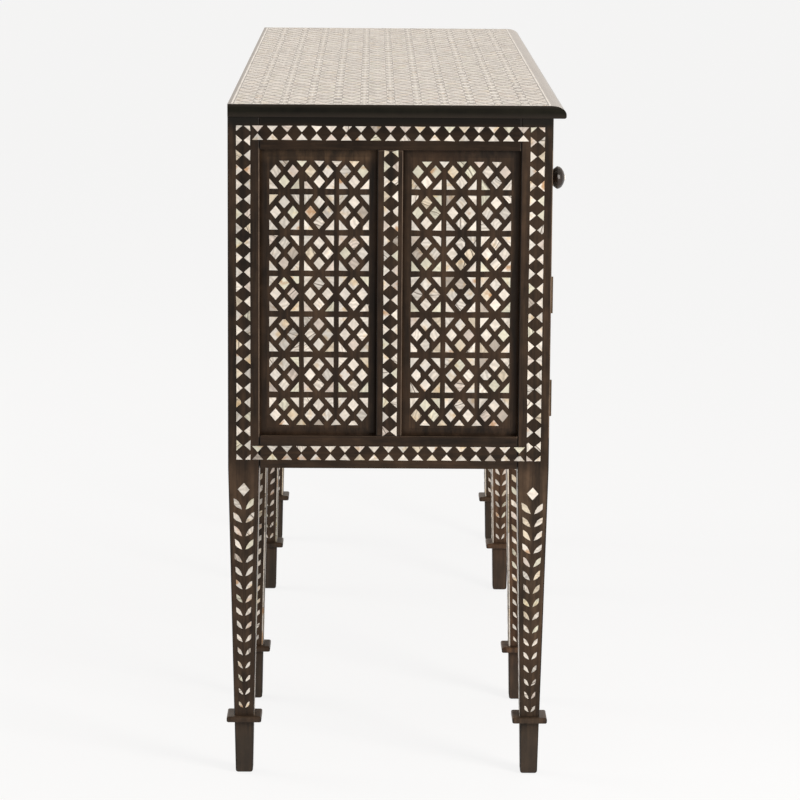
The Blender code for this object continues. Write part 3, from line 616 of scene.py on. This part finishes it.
class Lattice:
    """Cells of four lozenges and four corner triangles, with or without part rows above and below."""

    def __init__(self, inlay, place, columns, rows, cell, part_rows=True):
        self.inlay = inlay
        self.place = place
        self.cell_width, self.cell_height = cell
        self.columns = columns
        self.rows = rows
        self.part_rows = part_rows

    def lay(self):
        for column in range(self.columns):
            x = (column - (self.columns - 1) / 2) * self.cell_width
            for row in range(self.rows):
                self.add_cell(x, (row - (self.rows - 1) / 2) * self.cell_height)
            if self.part_rows:
                for side in (-1, 1):
                    self.add_part_cell(x, side, column)

    def add(self, outline):
        self.inlay.add(self.place, outline)

    def add_lozenge(self, x, y):
        self.add(lozenge(x, y, LOZENGE_HALF * self.cell_width, LOZENGE_HALF * self.cell_height))

    def add_lozenge_pair(self, x, y):
        for side in (-1, 1):
            self.add_lozenge(x + side * LOZENGE_OFF * self.cell_width, y)

    def add_corners(self, x, y, side_y):
        for side_x in (-1, 1):
            wide, high = side_x * self.cell_width, side_y * self.cell_height
            self.add(corner_triangle(x + wide * CORNER_AT, y + high * CORNER_AT, -wide * CORNER_LEG,
                                     -high * CORNER_LEG))

    def add_cell(self, x, y):
        self.add_lozenge_pair(x, y)
        for side in (-1, 1):
            self.add_lozenge(x, y + side * LOZENGE_OFF * self.cell_height)
        for side in (-1, 1):
            self.add_corners(x, y, side)

    def add_part_cell(self, x, side, column):
        """A cell cut off at the field's edge, which small triangles line."""
        y = side * (self.rows + 1) / 2 * self.cell_height
        self.add_lozenge_pair(x, y)
        self.add_lozenge(x, y - side * LOZENGE_OFF * self.cell_height)
        self.add_corners(x, y, -side)
        edge = y + side * (PART_ROW - 0.5) * self.cell_height
        self.add_edge_triangle(x, edge, side)
        if column:
            self.add_edge_triangle(x - self.cell_width / 2, edge, side)

    def add_edge_triangle(self, x, edge, side):
        half = EDGE_HALF * self.cell_width
        point = edge - side * EDGE_HEIGHT * self.cell_height
        self.add([(x + side * half, edge), (x - side * half, edge), (x, point)])


def band(inlay, place, length, width=BAND_WIDTH, ends=WHOLE_ENDS):
    """Pairs of triangles, point to point, along a place's right-hand direction.

    ends says how much of a spacing lies before the first pair's middle and after the last one's.
    """
    pairs = max(1, round(length / BAND_SPACING + 1 - sum(ends)))
    spacing = length / (pairs - 1 + sum(ends))
    half = BAND_BASE_HALF * spacing
    point = BAND_POINT_GAP * width / 2
    for step in range(pairs):
        centre = (step + ends[0]) * spacing
        left = max(centre - half, 0.0)
        right = min(centre + half, length)
        inlay.add(place, [(right, width / 2), (left, width / 2), (centre, point)])
        inlay.add(place, [(left, -width / 2), (right, -width / 2), (centre, -point)])


def frame_of_bands(inlay, place, half_width, half_height, width=BAND_WIDTH):
    """Four bands round a place, given half the oblong that their outer edges make."""
    rail_half = half_width - width
    for side in (-1, 1):
        stile = rising(place, side * (half_width - width / 2), -half_height)
        band(inlay, stile, 2 * half_height, width, HALF_ENDS)
        rail = along(place, -rail_half, side * (half_height - width / 2))
        band(inlay, rail, 2 * rail_half, width)


def string(inlay, place, length, width, tint=None):
    """A thin line of shell, in lengths laid end to end."""
    count = max(1, round(length / STRING_PIECE))
    piece = length / count
    for step in range(count):
        start, stop = step * piece, (step + 1) * piece - STRING_GAP
        half = width / 2 * chance.uniform(1.0 - STRING_WOBBLE, 1.0)
        inlay.add_exact(place, [(start, -half), (stop, -half), (stop, half), (start, half)], tint)


def rising(place, x, y):
    """A place that starts at a point of another one and runs up along it."""
    return Place(place.at(x, y), place.up, -place.right)


def along(place, x, y):
    return Place(place.at(x, y), place.right, place.up)


# The body's faces, read from the frame.
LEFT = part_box("end_rail_top_left")[0].x
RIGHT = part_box("end_rail_top_right")[1].x
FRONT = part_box("front_rail_top")[0].y
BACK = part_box("top_board")[1].y
BODY_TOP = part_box("end_rail_top_left")[1].z
BODY_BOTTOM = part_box("end_rail_bottom_left")[0].z
TOP_RAIL_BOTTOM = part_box("end_rail_top_left")[0].z
BOTTOM_RAIL_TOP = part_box("end_rail_bottom_left")[1].z
MIDDLE_Y = (FRONT + BACK) / 2
MIDDLE_Z = (BODY_BOTTOM + BODY_TOP) / 2
# A post's width, the gap round a door, and the way along X that each end faces.
POST_SIZE = 0.041
FRONT_GAP = 0.0015
SIDES = {"left": -1, "right": 1}
UP = Vector((0.0, 0.0, 1.0))

# Lattices of the ends, and how far they and the muntin's band are off the middle.
END_CELL = (0.0452, 0.0533)
END_SHIFTS = {"front": 0.0003, "back": -0.0010}
END_DROP = 0.0010
MUNTIN_SHIFT = 0.0012
MUNTIN_ENDS = (0.33, 0.10)
END_COLUMNS = 3
END_ROWS = 5


def box_middle(name):
    low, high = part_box(name)
    return (low + high) / 2


def facing(out, origin):
    """An upright place that looks along a direction."""
    return Place(origin, UP.cross(out), UP)


def lay_end(side, material):
    """Bands round the end's frame and a lattice in each of its two panels."""
    sign = SIDES[side]
    out = Vector((sign, 0.0, 0.0))
    face_x = RIGHT if sign > 0 else LEFT
    inlay = Inlay(f"inlay_end_{side}", "carcass", material)
    place = facing(out, (face_x, MIDDLE_Y, MIDDLE_Z))
    half_width = (BACK - FRONT) / 2 - BAND_MARGIN
    half_height = (BODY_TOP - BODY_BOTTOM) / 2 - BAND_MARGIN
    frame_of_bands(inlay, place, half_width, half_height)
    muntin_start = BOTTOM_RAIL_TOP - MIDDLE_Z
    band(inlay, rising(place, -sign * MUNTIN_SHIFT, muntin_start), TOP_RAIL_BOTTOM - BOTTOM_RAIL_TOP,
         ends=MUNTIN_ENDS)
    for part in ("front", "back"):
        name = f"end_panel_{side}_{part}"
        centre = box_middle(name)
        centre.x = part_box(name)[1 if sign > 0 else 0].x
        centre.y += END_SHIFTS[part]
        centre.z -= END_DROP
        Lattice(inlay, facing(out, centre), END_COLUMNS, END_ROWS, END_CELL).lay()
    inlay.finish()


# The top: lines along its edges, and inside them chains that part fields of crossed triangles.
TOP_BACK_STRING = 0.0055
TOP_FRONT_STRING = 0.0043
TOP_STRING_WIDTH = 0.0026
TOP_END_STRING = 0.0060
TOP_CHAINS = 11
TOP_PERIOD = 0.0480
CHAIN_WIDTH = 0.0113
CHAIN_GAP = 0.0006
BAR_HALF = 0.0070
LINK_GAP = 0.0018
LINK_CORNER = 0.46
LINK_SPLIT = 0.0004
CROSS_GAP = 0.0029
LOST_SHARE = 0.03


def lay_chain(inlay, place, count, period):
    """Bright bars, and between them long lozenges of two halves with triangles at their corners."""
    half = CHAIN_WIDTH / 2 - CHAIN_GAP
    reach = period / 2 - BAR_HALF - LINK_GAP
    rise = half - LINK_GAP / 2
    for step in range(count):
        centre = (step + 0.5) * period
        for side_x in (-1, 1):
            inner = centre + side_x * LINK_SPLIT
            outer = centre + side_x * reach
            if chance.random() > LOST_SHARE:
                inlay.add(place, [(outer, 0.0), (inner, side_x * rise), (inner, -side_x * rise)])
            for side_y in (-1, 1):
                inlay.add(place, corner_triangle(outer, side_y * half, -side_x * reach * LINK_CORNER,
                                                 -side_y * half * LINK_CORNER))
    for step in range(count + 1):
        left = max(step * period - BAR_HALF, 0.0)
        right = min(step * period + BAR_HALF, count * period)
        inlay.add(place, [(left, -half), (right, -half), (right, half), (left, half)], tint=BRIGHT_TINT)


def lay_crossed(inlay, place, count, period, width):
    """Oblongs split along both diagonals into four triangles."""
    far, wide = period / 2, width / 2
    slant = math.hypot(far, wide)
    ease_x, ease_y = CROSS_GAP / 2 * slant / wide, CROSS_GAP / 2 * slant / far
    for step in range(count):
        centre = (step + 0.5) * period
        for side in (-1, 1):
            inlay.add(place, [(centre + side * (far - ease_x), side * wide),
                              (centre - side * (far - ease_x), side * wide), (centre, side * ease_y)])
            inlay.add(place, [(centre + side * far, -side * (wide - ease_y)),
                              (centre + side * far, side * (wide - ease_y)),
                              (centre + side * ease_x, 0.0)])


def lay_top(material):
    """Chains and crossed fields over the whole top, inside a line that follows its edges."""
    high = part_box("top_board")[1]
    inlay = Inlay("inlay_top", "carcass", material)
    front_line = FRONT + TOP_FRONT_STRING
    back_line = BACK - TOP_BACK_STRING
    end_line = high.x - TOP_END_STRING
    place = Place((0.0, (front_line + back_line) / 2, high.z), (1.0, 0.0, 0.0), (0.0, 1.0, 0.0))
    half_width = (back_line - front_line) / 2
    for side in (-1, 1):
        edge = along(place, -end_line, side * half_width)
        string(inlay, edge, 2 * end_line, TOP_STRING_WIDTH, BRIGHT_TINT)
        end = rising(place, side * end_line, -half_width)
        string(inlay, end, 2 * half_width, TOP_STRING_WIDTH, BRIGHT_TINT)
    half_length = end_line - TOP_STRING_WIDTH
    field_width = 2 * (half_width - TOP_STRING_WIDTH)
    open_width = (field_width - TOP_CHAINS * CHAIN_WIDTH) / (TOP_CHAINS + 1)
    count = round(2 * half_length / TOP_PERIOD)
    period = 2 * half_length / count
    for index in range(TOP_CHAINS + 1):
        low_y = index * (open_width + CHAIN_WIDTH) - field_width / 2
        lay_crossed(inlay, along(place, -half_length, low_y + open_width / 2), count, period, open_width)
        if index < TOP_CHAINS:
            chain_y = low_y + open_width + CHAIN_WIDTH / 2
            lay_chain(inlay, along(place, -half_length, chain_y), count, period)
    inlay.finish()


# Legs: half their width above and below, and their inlay. Pairs are for the upper and the lower end.
# A leaf's outline is in shares of its width and height.
LEG_TOP_HALF = POST_SIZE / 2
LEG_ANKLE_HALF = 0.0131
LEG_ANKLE_Z = 0.0795
LEG_LOZENGE = (0.0077, 0.0088)
LEG_LOZENGE_DROP = 0.0330
BACK_RISE = 0.0040
LEAF_PAIRS = 16
LEAF_FIRST_DROP = 0.0600
LEAF_SPACING = 0.0180
LEAF_OUTLINE = (
    (0.00, 0.00), (0.30, 0.08), (0.65, 0.22), (0.95, 0.44),
    (1.00, 1.00), (0.70, 0.88), (0.40, 0.68), (0.15, 0.34),
)
LEAF_OUTER = (0.0144, 0.0073)
LEAF_INNER = (0.0024, 0.0014)
LEAF_HEIGHT = (0.0150, 0.0096)
LEAF_UNEVEN = 0.10
LEAF_CHIPS = 0.16
LEG_STRING_WIDTH = 0.0017
LEG_STRING_INSET = 0.0016
SLANT_SHARE = 0.78


def blend(pair, share):
    return pair[0] + (pair[1] - pair[0]) * share


def leaf(inlay, place, inner, outer, low, height, side):
    """One leaf that climbs outwards, to the right or the left."""
    outline = [(side * (inner + (outer - inner) * x), low + height * y) for x, y in LEAF_OUTLINE]
    inlay.add(place, outline if side > 0 else outline[::-1], LEAF_CHIPS)


def leg_face(centre, out):
    """The tapered face of a leg. Its place starts in mid-face, at the body's lower edge."""
    top = Vector((centre.x, centre.y, BODY_BOTTOM)) + out * LEG_TOP_HALF
    ankle = Vector((centre.x, centre.y, LEG_ANKLE_Z)) + out * LEG_ANKLE_HALF
    up = (top - ankle).normalized()
    return Place(top, up.cross(out), up)


def leg_leaves(inlay, place):
    for step in range(LEAF_PAIRS):
        share = step / (LEAF_PAIRS - 1)
        low = -LEAF_FIRST_DROP - step * LEAF_SPACING
        for side in (-1, 1):
            outer = blend(LEAF_OUTER, share) * chance.uniform(1.0 - LEAF_UNEVEN, 1.0)
            uneven_height = chance.uniform(1.0 - LEAF_UNEVEN, 1.0 + LEAF_UNEVEN / 2)
            leaf(inlay, place, blend(LEAF_INNER, share), outer, low,
                 blend(LEAF_HEIGHT, share) * uneven_height, side)


def slanted_leaves(inlay, place, side):
    """A single climbing row of leaves, as wide as the leg's face allows."""
    for step in range(LEAF_PAIRS + 2):
        share = step / (LEAF_PAIRS + 1)
        low = LEAF_HEIGHT[0] - LEAF_FIRST_DROP - step * LEAF_SPACING
        reach = blend((LEG_TOP_HALF, LEG_ANKLE_HALF), share) * SLANT_SHARE
        leaf(inlay, place, -reach, reach, low, blend(LEAF_HEIGHT, share), side)


def leg_strings(inlay, place):
    """Lines of shell that follow both tapering edges of a leg's face."""
    length = BODY_BOTTOM - LEG_ANKLE_Z
    for side in (-1, 1):
        start = place.at(side * (LEG_ANKLE_HALF - LEG_STRING_INSET), -length)
        stop = place.at(side * (LEG_TOP_HALF - LEG_STRING_INSET), 0.0)
        course = (stop - start).normalized()
        edge = Place(start, course, place.out.cross(course))
        string(inlay, edge, (stop - start).length, LEG_STRING_WIDTH)


def leg_lozenge(inlay, place):
    inlay.add(place, lozenge(0.0, -LEG_LOZENGE_DROP, *LEG_LOZENGE), 0.0)


def lay_leg(name, sign_x, front, corner, material):
    """Outer faces carry a lozenge and leaves, faces towards other legs carry lines at their edges."""
    inlay = Inlay(f"inlay_{name}", "carcass", material)
    centre = box_middle(name)
    outwards = leg_face(centre, Vector((sign_x, 0.0, 0.0)))
    if corner and not front:
        outwards = along(outwards, 0.0, BACK_RISE)
    inwards = leg_face(centre, Vector((-sign_x, 0.0, 0.0)))
    leg_leaves(inlay, outwards)
    leg_leaves(inlay, inwards)
    leg_strings(inlay, inwards)
    if corner:
        leg_lozenge(inlay, outwards)
    else:
        leg_strings(inlay, outwards)
    towards_middle = leg_face(centre, Vector((0.0, 1.0 if front else -1.0, 0.0)))
    leg_strings(inlay, towards_middle)
    if front:
        slanted_leaves(inlay, towards_middle, sign_x)
        ahead = leg_face(centre, AHEAD)
        leg_lozenge(inlay, ahead)
        leg_leaves(inlay, ahead)
    inlay.finish()


def lay_legs(material):
    for side, sign in SIDES.items():
        for part in ("front", "back"):
            lay_leg(f"post_{part}_{side}", sign, part == "front", True, material)
            lay_leg(f"post_inner_{part}_{side}", sign, part == "front", False, material)


# The front: X limits of the bays and doors, the knobs on each body, and sizes of the inlay.
BAYS = {
    "left": (LEFT + POST_SIZE, box_middle("post_inner_front_left").x - POST_SIZE / 2),
    "centre": (box_middle("post_inner_front_left").x + POST_SIZE / 2,
               box_middle("post_inner_front_right").x - POST_SIZE / 2),
    "right": (box_middle("post_inner_front_right").x + POST_SIZE / 2, RIGHT - POST_SIZE),
}
DOORS = {
    "left": BAYS["left"],
    "centre_left": (BAYS["centre"][0], 0.0),
    "centre_right": (0.0, BAYS["centre"][1]),
    "right": BAYS["right"],
}
KNOBS = {f"door_{name}": [f"door_knob_{name}"] for name in DOORS}
KNOBS.update({f"drawer_{bay}": [f"drawer_knob_{bay}"] for bay in ("left", "right")})
KNOBS["drawer_centre"] = ["drawer_knob_centre_left", "drawer_knob_centre_right"]
DOOR_IN = {"left": "left", "centre": "centre_left", "right": "right"}
AHEAD = Vector((0.0, -1.0, 0.0))
DIVIDER_BAND = 0.0165
DRAWER_MARGIN = 0.0110
DRAWER_ROWS = 2
DOOR_STILE = 0.038
DOOR_BAND = 0.0170
DOOR_FIELD_INSET = 0.0110
DOOR_ROWS = 1
KNOB_CLEAR = 1.15
DOT_SHARE = 0.12
DOT_SIDES = 20
DOT_DOME = ((1.00, -0.0003), (1.00, 0.0002), (0.90, 0.0008), (0.66, 0.0012), (0.34, 0.0014))


def lay_front(material):
    """Bands on the posts, rails and dividers of the front."""
    inlay = Inlay("inlay_front", "carcass", material)
    place = facing(AHEAD, (0.0, FRONT, 0.0))
    corner_x = RIGHT - BAND_MARGIN - BAND_WIDTH / 2
    low = BODY_BOTTOM + BAND_MARGIN
    for sign in SIDES.values():
        band(inlay, rising(place, sign * corner_x, low), BODY_TOP - BAND_MARGIN - low, ends=HALF_ENDS)
        inner_x = sign * (BAYS["right"][0] - POST_SIZE / 2)
        band(inlay, rising(place, inner_x, low), TOP_RAIL_BOTTOM - low, ends=HALF_ENDS)
    rail_half = corner_x - BAND_WIDTH / 2
    band(inlay, along(place, -rail_half, BODY_TOP - BAND_MARGIN - BAND_WIDTH / 2), 2 * rail_half)
    for bay, (start, stop) in BAYS.items():
        band(inlay, along(place, start, low + BAND_WIDTH / 2), stop - start)
        drawer_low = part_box(f"drawer_front_{bay}")[0].z
        door_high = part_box(f"door_frame_{DOOR_IN[bay]}")[1].z
        band(inlay, along(place, start, (drawer_low + door_high) / 2), stop - start, DIVIDER_BAND)
    inlay.finish()


def front_of(name):
    """The place in the middle of a node's front."""
    low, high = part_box(name)
    return facing(AHEAD, ((low.x + high.x) / 2, low.y, (low.z + high.z) / 2))


def fill(inlay, place, width, height, rows, part_rows=True):
    """Lays a lattice over an oblong, with cells about as wide as those of the ends."""
    columns = round(width / END_CELL[0])
    cell = (width / columns, height / (rows + (2 * PART_ROW if part_rows else 0)))
    Lattice(inlay, place, columns, rows, cell, part_rows).lay()


def knob_room(body):
    """The knobs of a body, with the room that the inlay leaves round each."""
    room = []
    for name in KNOBS[body]:
        low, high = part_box(name)
        room.append((Vector(((low.x + high.x) / 2, high.y, (low.z + high.z) / 2)),
                     (high.x - low.x) / 2 * KNOB_CLEAR))
    return room


def add_dots(inlay, body):
    """A domed round of shell in the middle of each knob's cap."""
    for name in KNOBS[body]:
        low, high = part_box(name)
        radius = (high.x - low.x) * DOT_SHARE
        turns = [2 * math.pi * step / DOT_SIDES for step in range(DOT_SIDES)]
        circle = [(radius * math.cos(turn), radius * math.sin(turn)) for turn in turns]
        rings = [([(x * share, y * share) for x, y in circle], height) for share, height in DOT_DOME]
        inlay.add_rings(front_of(name), rings, BRIGHT_TINT)


def lay_drawer(bay, material):
    """Two rows of lattice on a drawer's front."""
    body = f"drawer_{bay}"
    low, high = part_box(f"drawer_front_{bay}")
    inlay = Inlay(f"inlay_{body}", body, material, knob_room(body))
    width = high.x - low.x - 2 * DRAWER_MARGIN
    height = high.z - low.z - 2 * DRAWER_MARGIN
    fill(inlay, front_of(f"drawer_front_{bay}"), width, height, DRAWER_ROWS, part_rows=False)
    add_dots(inlay, body)
    inlay.finish()


def lay_door(name, material):
    """Bands round a door's frame and a lattice in its panel."""
    body = f"door_{name}"
    left, right = DOORS[name][0] + FRONT_GAP, DOORS[name][1] - FRONT_GAP
    low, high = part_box(f"door_frame_{name}")[0].z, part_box(f"door_frame_{name}")[1].z
    inlay = Inlay(f"inlay_{body}", body, material, knob_room(body))
    place = facing(AHEAD, ((left + right) / 2, FRONT, (low + high) / 2))
    half_width, half_height = (right - left) / 2, (high - low) / 2
    margin = (DOOR_STILE - DOOR_BAND) / 2
    frame_of_bands(inlay, place, half_width - margin, half_height - margin, DOOR_BAND)
    width = 2 * (half_width - DOOR_STILE - DOOR_FIELD_INSET)
    height = 2 * (half_height - DOOR_STILE - DOOR_FIELD_INSET)
    fill(inlay, front_of(f"door_panel_{name}"), width, height, DOOR_ROWS)
    add_dots(inlay, body)
    inlay.finish()


# Eased edges of the wood: their width, the angle from which they are eased, and how near points join.
EDGE_WIDTH = 0.0011
EDGE_STEPS = 2
EDGE_ANGLE = math.radians(40)
WELD_DISTANCE = 0.00002
# How far a face has to look along an axis to count as level, slanted or part of a panel's field.
LEVEL_ENOUGH = 0.998
SLANT_ENOUGH = 0.5
FIELD_ENOUGH = 0.97
# How far past a hinge's box its leaf on the door may reach.
HINGE_REACH = 0.0006


def dress(node, material, edge=None):
    """Gives a node its finish, and eased edges in the edge material, with its painted highlight, if
    named.
    """
    node.data.materials.clear()
    node.data.materials.append(material)
    if edge is None:
        return
    node.data.materials.append(edge)
    weld = node.modifiers.new("joined", "WELD")
    weld.merge_threshold = WELD_DISTANCE
    eased = node.modifiers.new("eased", "BEVEL")
    eased.width = EDGE_WIDTH
    eased.segments = EDGE_STEPS
    eased.limit_method = "ANGLE"
    eased.angle_limit = EDGE_ANGLE
    eased.material = 1
    shading = node.modifiers.new("shading", "WEIGHTED_NORMAL")
    shading.keep_sharp = False


def finish_faces(node, material, chosen):
    """Gives the chosen faces of a node another finish."""
    index = node.data.materials.find(material.name)
    if index < 0:
        index = len(node.data.materials)
        node.data.materials.append(material)
    for face in node.data.polygons:
        if chosen(face):
            face.material_index = index


def sideways(face):
    return abs(face.normal.x) > SLANT_ENOUGH


def on_corner(face):
    return min(abs(face.normal.x), abs(face.normal.y)) > SLANT_ENOUGH


def on_field(face):
    return abs(face.normal.x) > FIELD_ENOUGH


def off_level(face):
    return face.normal.z < LEVEL_ENOUGH


def case_wood(name, dark, light, axis, **others):
    return wood(name, dark, light, CASE_RED, axis, specular=CASE_SPECULAR, **others)


def dress_wood():
    """Picks each wooden node's finish by its name, and the grain by the way the piece runs."""
    edge = painted_edge_highlight()
    case = [case_wood(f"case_wood_{'xyz'[axis]}", CASE_DARK, CASE_LIGHT, axis) for axis in range(3)]
    # The ends' top rails take a darker copy of the wood: painted shade under the top.
    rail = wood("top_rail_shaded_wood", SHADED_RAIL_DARK, SHADED_RAIL_LIGHT, CASE_LIGHT, 1, specular=RAIL_SPECULAR)
    knob = wood("knob_wood", KNOB_DARK, KNOB_LIGHT, CASE_RED, 1, patches=KNOB_PATCH_SHARE, tones=(),
                roughness=KNOB_ROUGHNESS, specular=KNOB_SPECULAR)
    inside = [wood(f"inside_wood_{'xy'[axis]}", INSIDE_DARK, INSIDE_LIGHT, INSIDE_RED, axis, tones=(),
                   roughness=INSIDE_ROUGHNESS, specular=INSIDE_SPECULAR) for axis in range(2)]
    for name, node in nodes.items():
        if name.startswith("end_rail"):
            dress(node, rail if "_top_" in name else case[1], edge)
        elif name.startswith(("front_rail", "drawer_front", "drawer_divider", "door_panel")):
            dress(node, case[0], edge)
        elif "_knob_" in name:
            dress(node, knob)
        elif name.startswith(("drawer_tray", "bottom_board", "back_board", "partition")):
            dress(node, inside[0])
            finish_faces(node, inside[1], sideways)
    dress_uprights(case[2], edge)
    dress_top(edge)
    for name in DOORS:
        dress_door(name, edge)


def dress_uprights(plain, edge):
    """Posts, muntins and end panels, some with painted light and some with painted shade."""
    # Lighter copies for the front posts and inner front posts: painted light where the lamp falls on
    # them.
    post = case_wood("front_post_lit_wood", LIT_POST_DARK, LIT_POST_LIGHT, 2)
    inner = case_wood("inner_post_lit_wood", LIT_INNER_DARK, LIT_INNER_LIGHT, 2)
    # Some panels have lighter wood of their own at the upper margin.
    lightened = case_wood("rubbed_panel_wood", CASE_DARK, CASE_LIGHT, 2, tones=MARGIN_TONES)
    # Fields lighter than the panels' sunk margins: painted shade in the margins.
    fields = {
        "front": case_wood("panel_field_lit_wood", LIT_FIELD_DARK, LIT_FIELD_LIGHT, 2),
        "back": case_wood("rubbed_field_lit_wood", LIT_FIELD_DARK, LIT_FIELD_LIGHT, 2, tones=MARGIN_TONES),
    }
    own = {}
    for side in SIDES:
        own[f"post_front_{side}"] = post
        own[f"post_inner_front_{side}"] = inner
        own[f"end_panel_{side}_back"] = lightened
    for name, node in nodes.items():
        if not name.startswith(("post_", "end_muntin", "end_panel")):
            continue
        dress(node, own.get(name, plain), edge)
        if name.startswith("post_"):
            # The posts' corner faces take the painted edge highlight.
            finish_faces(node, edge, on_corner)
        elif name.startswith("end_panel"):
            finish_faces(node, fields[name.rsplit("_", 1)[1]], on_field)


def dress_top(edge):
    """Lacquer on the top, a glossy moulding, and dull dark ends: painted shade with painted highlights.
    """
    board = nodes["top_board"]
    dress(board, wood("top_wood", TOP_DARK, TOP_LIGHT, CASE_LIGHT, 0, tones=(), roughness=TOP_ROUGHNESS,
                      specular=TOP_SPECULAR), edge)
    moulding = wood("moulding_wood", CASE_DARK, CASE_LIGHT, CASE_RED, 0, tones=(),
                    roughness=MOULDING_ROUGHNESS, **MOULDING_GLOSS)
    finish_faces(board, moulding, off_level)
    # The ends of the top: painted shade, with painted highlights along their upper and lower edges.
    top_end = wood("top_end_shaded_wood", END_SHADED_DARK, END_SHADED_LIGHT, END_SHADED_DARK, 1, tones=TOP_END_HIGHLIGHTS,
                   specular=TOP_END_SPECULAR)
    finish_faces(board, top_end, sideways)


def dress_door(name, edge):
    start, stop = DOORS[name][0] + FRONT_GAP + DOOR_STILE, DOORS[name][1] - FRONT_GAP - DOOR_STILE
    material = wood(f"door_wood_{name}", CASE_DARK, CASE_LIGHT, CASE_RED, 2, rails=(start, stop),
                    specular=DOOR_SPECULAR)
    dress(nodes[f"door_frame_{name}"], material, edge)


def add_camera():
    """A camera that looks along +X at the end, turned by small angles."""
    forward, right, down = Vector((1, 0, 0)), Vector((0, -1, 0)), Vector((0, 0, -1))
    yawed = forward * math.cos(CAMERA_YAW) + right * math.sin(CAMERA_YAW)
    right = right * math.cos(CAMERA_YAW) - forward * math.sin(CAMERA_YAW)
    pitched = yawed * math.cos(CAMERA_PITCH) + down * math.sin(CAMERA_PITCH)
    down = down * math.cos(CAMERA_PITCH) - yawed * math.sin(CAMERA_PITCH)
    rolled = right * math.cos(CAMERA_ROLL) + down * math.sin(CAMERA_ROLL)
    down = down * math.cos(CAMERA_ROLL) - right * math.sin(CAMERA_ROLL)
    lens = bpy.data.cameras.new("camera")
    lens.sensor_fit = "HORIZONTAL"
    lens.sensor_width = SENSOR_WIDTH
    lens.lens = SENSOR_WIDTH * FOCAL_PIXELS / IMAGE_WIDTH
    camera = bpy.data.objects.new("camera", lens)
    turn = Matrix((rolled, -down, -pitched)).transposed()
    camera.matrix_world = Matrix.Translation(CAMERA_PLACE) @ turn.to_4x4()
    bpy.context.scene.collection.objects.link(camera)
    bpy.context.scene.camera = camera


def add_lamp(name, place, power, size, mirrored):
    lamp = bpy.data.lights.new(name, "AREA")
    lamp.energy = power
    lamp.size = size
    lamp.color = WARM_WHITE[:3]
    holder = bpy.data.objects.new(name, lamp)
    holder.location = place
    holder.rotation_euler = (AIM_POINT - place).to_track_quat("-Z", "Y").to_euler()
    holder.visible_glossy = mirrored
    bpy.context.scene.collection.objects.link(holder)


def add_sky():
    """Soft light from all round, stronger on some sides; where the sky itself is seen it is white."""
    world = bpy.data.worlds.new("studio")
    world.use_nodes = True
    bpy.context.scene.world = world
    made = Nodes(world.node_tree)
    made.tree.nodes.clear()
    way = made.node("ShaderNodeTexCoord").outputs["Generated"]
    light = made.calc("ADD", made.facing(way, SKY_SLOPE), SKY_LIGHT)
    shown = made.node("ShaderNodeBackground", color=WARM_WHITE, strength=light)
    mirrored = made.node("ShaderNodeBackground", color=MIRRORED, strength=SKY_SEEN)
    seen = made.node("ShaderNodeBackground", color=WHITE, strength=SKY_SEEN)
    rays = made.node("ShaderNodeLightPath").outputs
    shown_to = {"Is Glossy Ray": mirrored, "Is Transmission Ray": seen, "Is Camera Ray": seen}
    for kind, other in shown_to.items():
        shown = made.mix_shaders(rays[kind], shown, other)
    made.feed(made.node("ShaderNodeOutputWorld").inputs["Surface"], shown.outputs[0])


def add_floor():
    mesh = bpy.data.meshes.new("floor")
    reach = FLOOR_RADIUS
    corners = [(-reach, -reach, cad_low.z), (reach, -reach, cad_low.z), (reach, reach, cad_low.z),
               (-reach, reach, cad_low.z)]
    mesh.from_pydata(corners, [], [(0, 1, 2, 3)])
    floor = bpy.data.objects.new("floor", mesh)
    bpy.context.scene.collection.objects.link(floor)
    mesh.materials.append(floor_paper())


def floor_paper():
    """Pale paper that the camera sees nearly white, with the shadow that falls on it softened."""
    made = Shader("floor_paper")
    made.sheen(colour=FLOOR_COLOUR, roughness=FLOOR_ROUGHNESS, specular=FLOOR_SPECULAR)
    glow = made.node("ShaderNodeEmission", color=WHITE, strength=FLOOR_SEEN)
    rays = made.node("ShaderNodeLightPath").outputs
    mirrored = made.calc("MAXIMUM", rays["Is Glossy Ray"], rays["Is Transmission Ray"])
    share = made.calc("MULTIPLY", made.calc("MAXIMUM", rays["Is Camera Ray"], mirrored), FLOOR_WHITENED)
    mixed = made.mix_shaders(share, made.surface, glow)
    made.feed(made.tree.nodes["Material Output"].inputs["Surface"], mixed.outputs[0])
    return made.material


def dress_hinges():
    """Brass on the hinges, and on the leaves and knuckles that are one piece with the doors."""
    brass = aged_brass()
    for name, node in nodes.items():
        if not name.startswith("hinge_"):
            continue
        dress(node, brass)
        low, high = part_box(name)
        door = nodes["door_frame_" + name[len("hinge_"):].rsplit("_", 1)[0]]
        finish_faces(door, brass, lambda face: within(face.center, low, high))


def within(point, low, high):
    return all(low[axis] - HINGE_REACH < point[axis] < high[axis] + HINGE_REACH for axis in range(3))


def lay_inlay():
    shell = pearl("pearl", SHELL_ROUGHNESS, **SHELL_GLOSS)
    lacquered = pearl("pearl_lacquered", LACQUERED_ROUGHNESS, **LACQUERED_GLOSS)
    for side in SIDES:
        lay_end(side, shell)
    lay_top(lacquered)
    lay_legs(shell)
    lay_front(shell)
    for bay in BAYS:
        lay_drawer(bay, shell)
    for name in DOORS:
        lay_door(name, shell)


bpy.context.scene.view_settings.view_transform = "Standard"
add_camera()
add_sky()
add_floor()
add_lamp("key", KEY_PLACE, KEY_POWER, KEY_SIZE, True)
add_lamp("fill", FILL_PLACE, FILL_POWER, FILL_SIZE, False)
dress_wood()
dress_hinges()
lay_inlay()
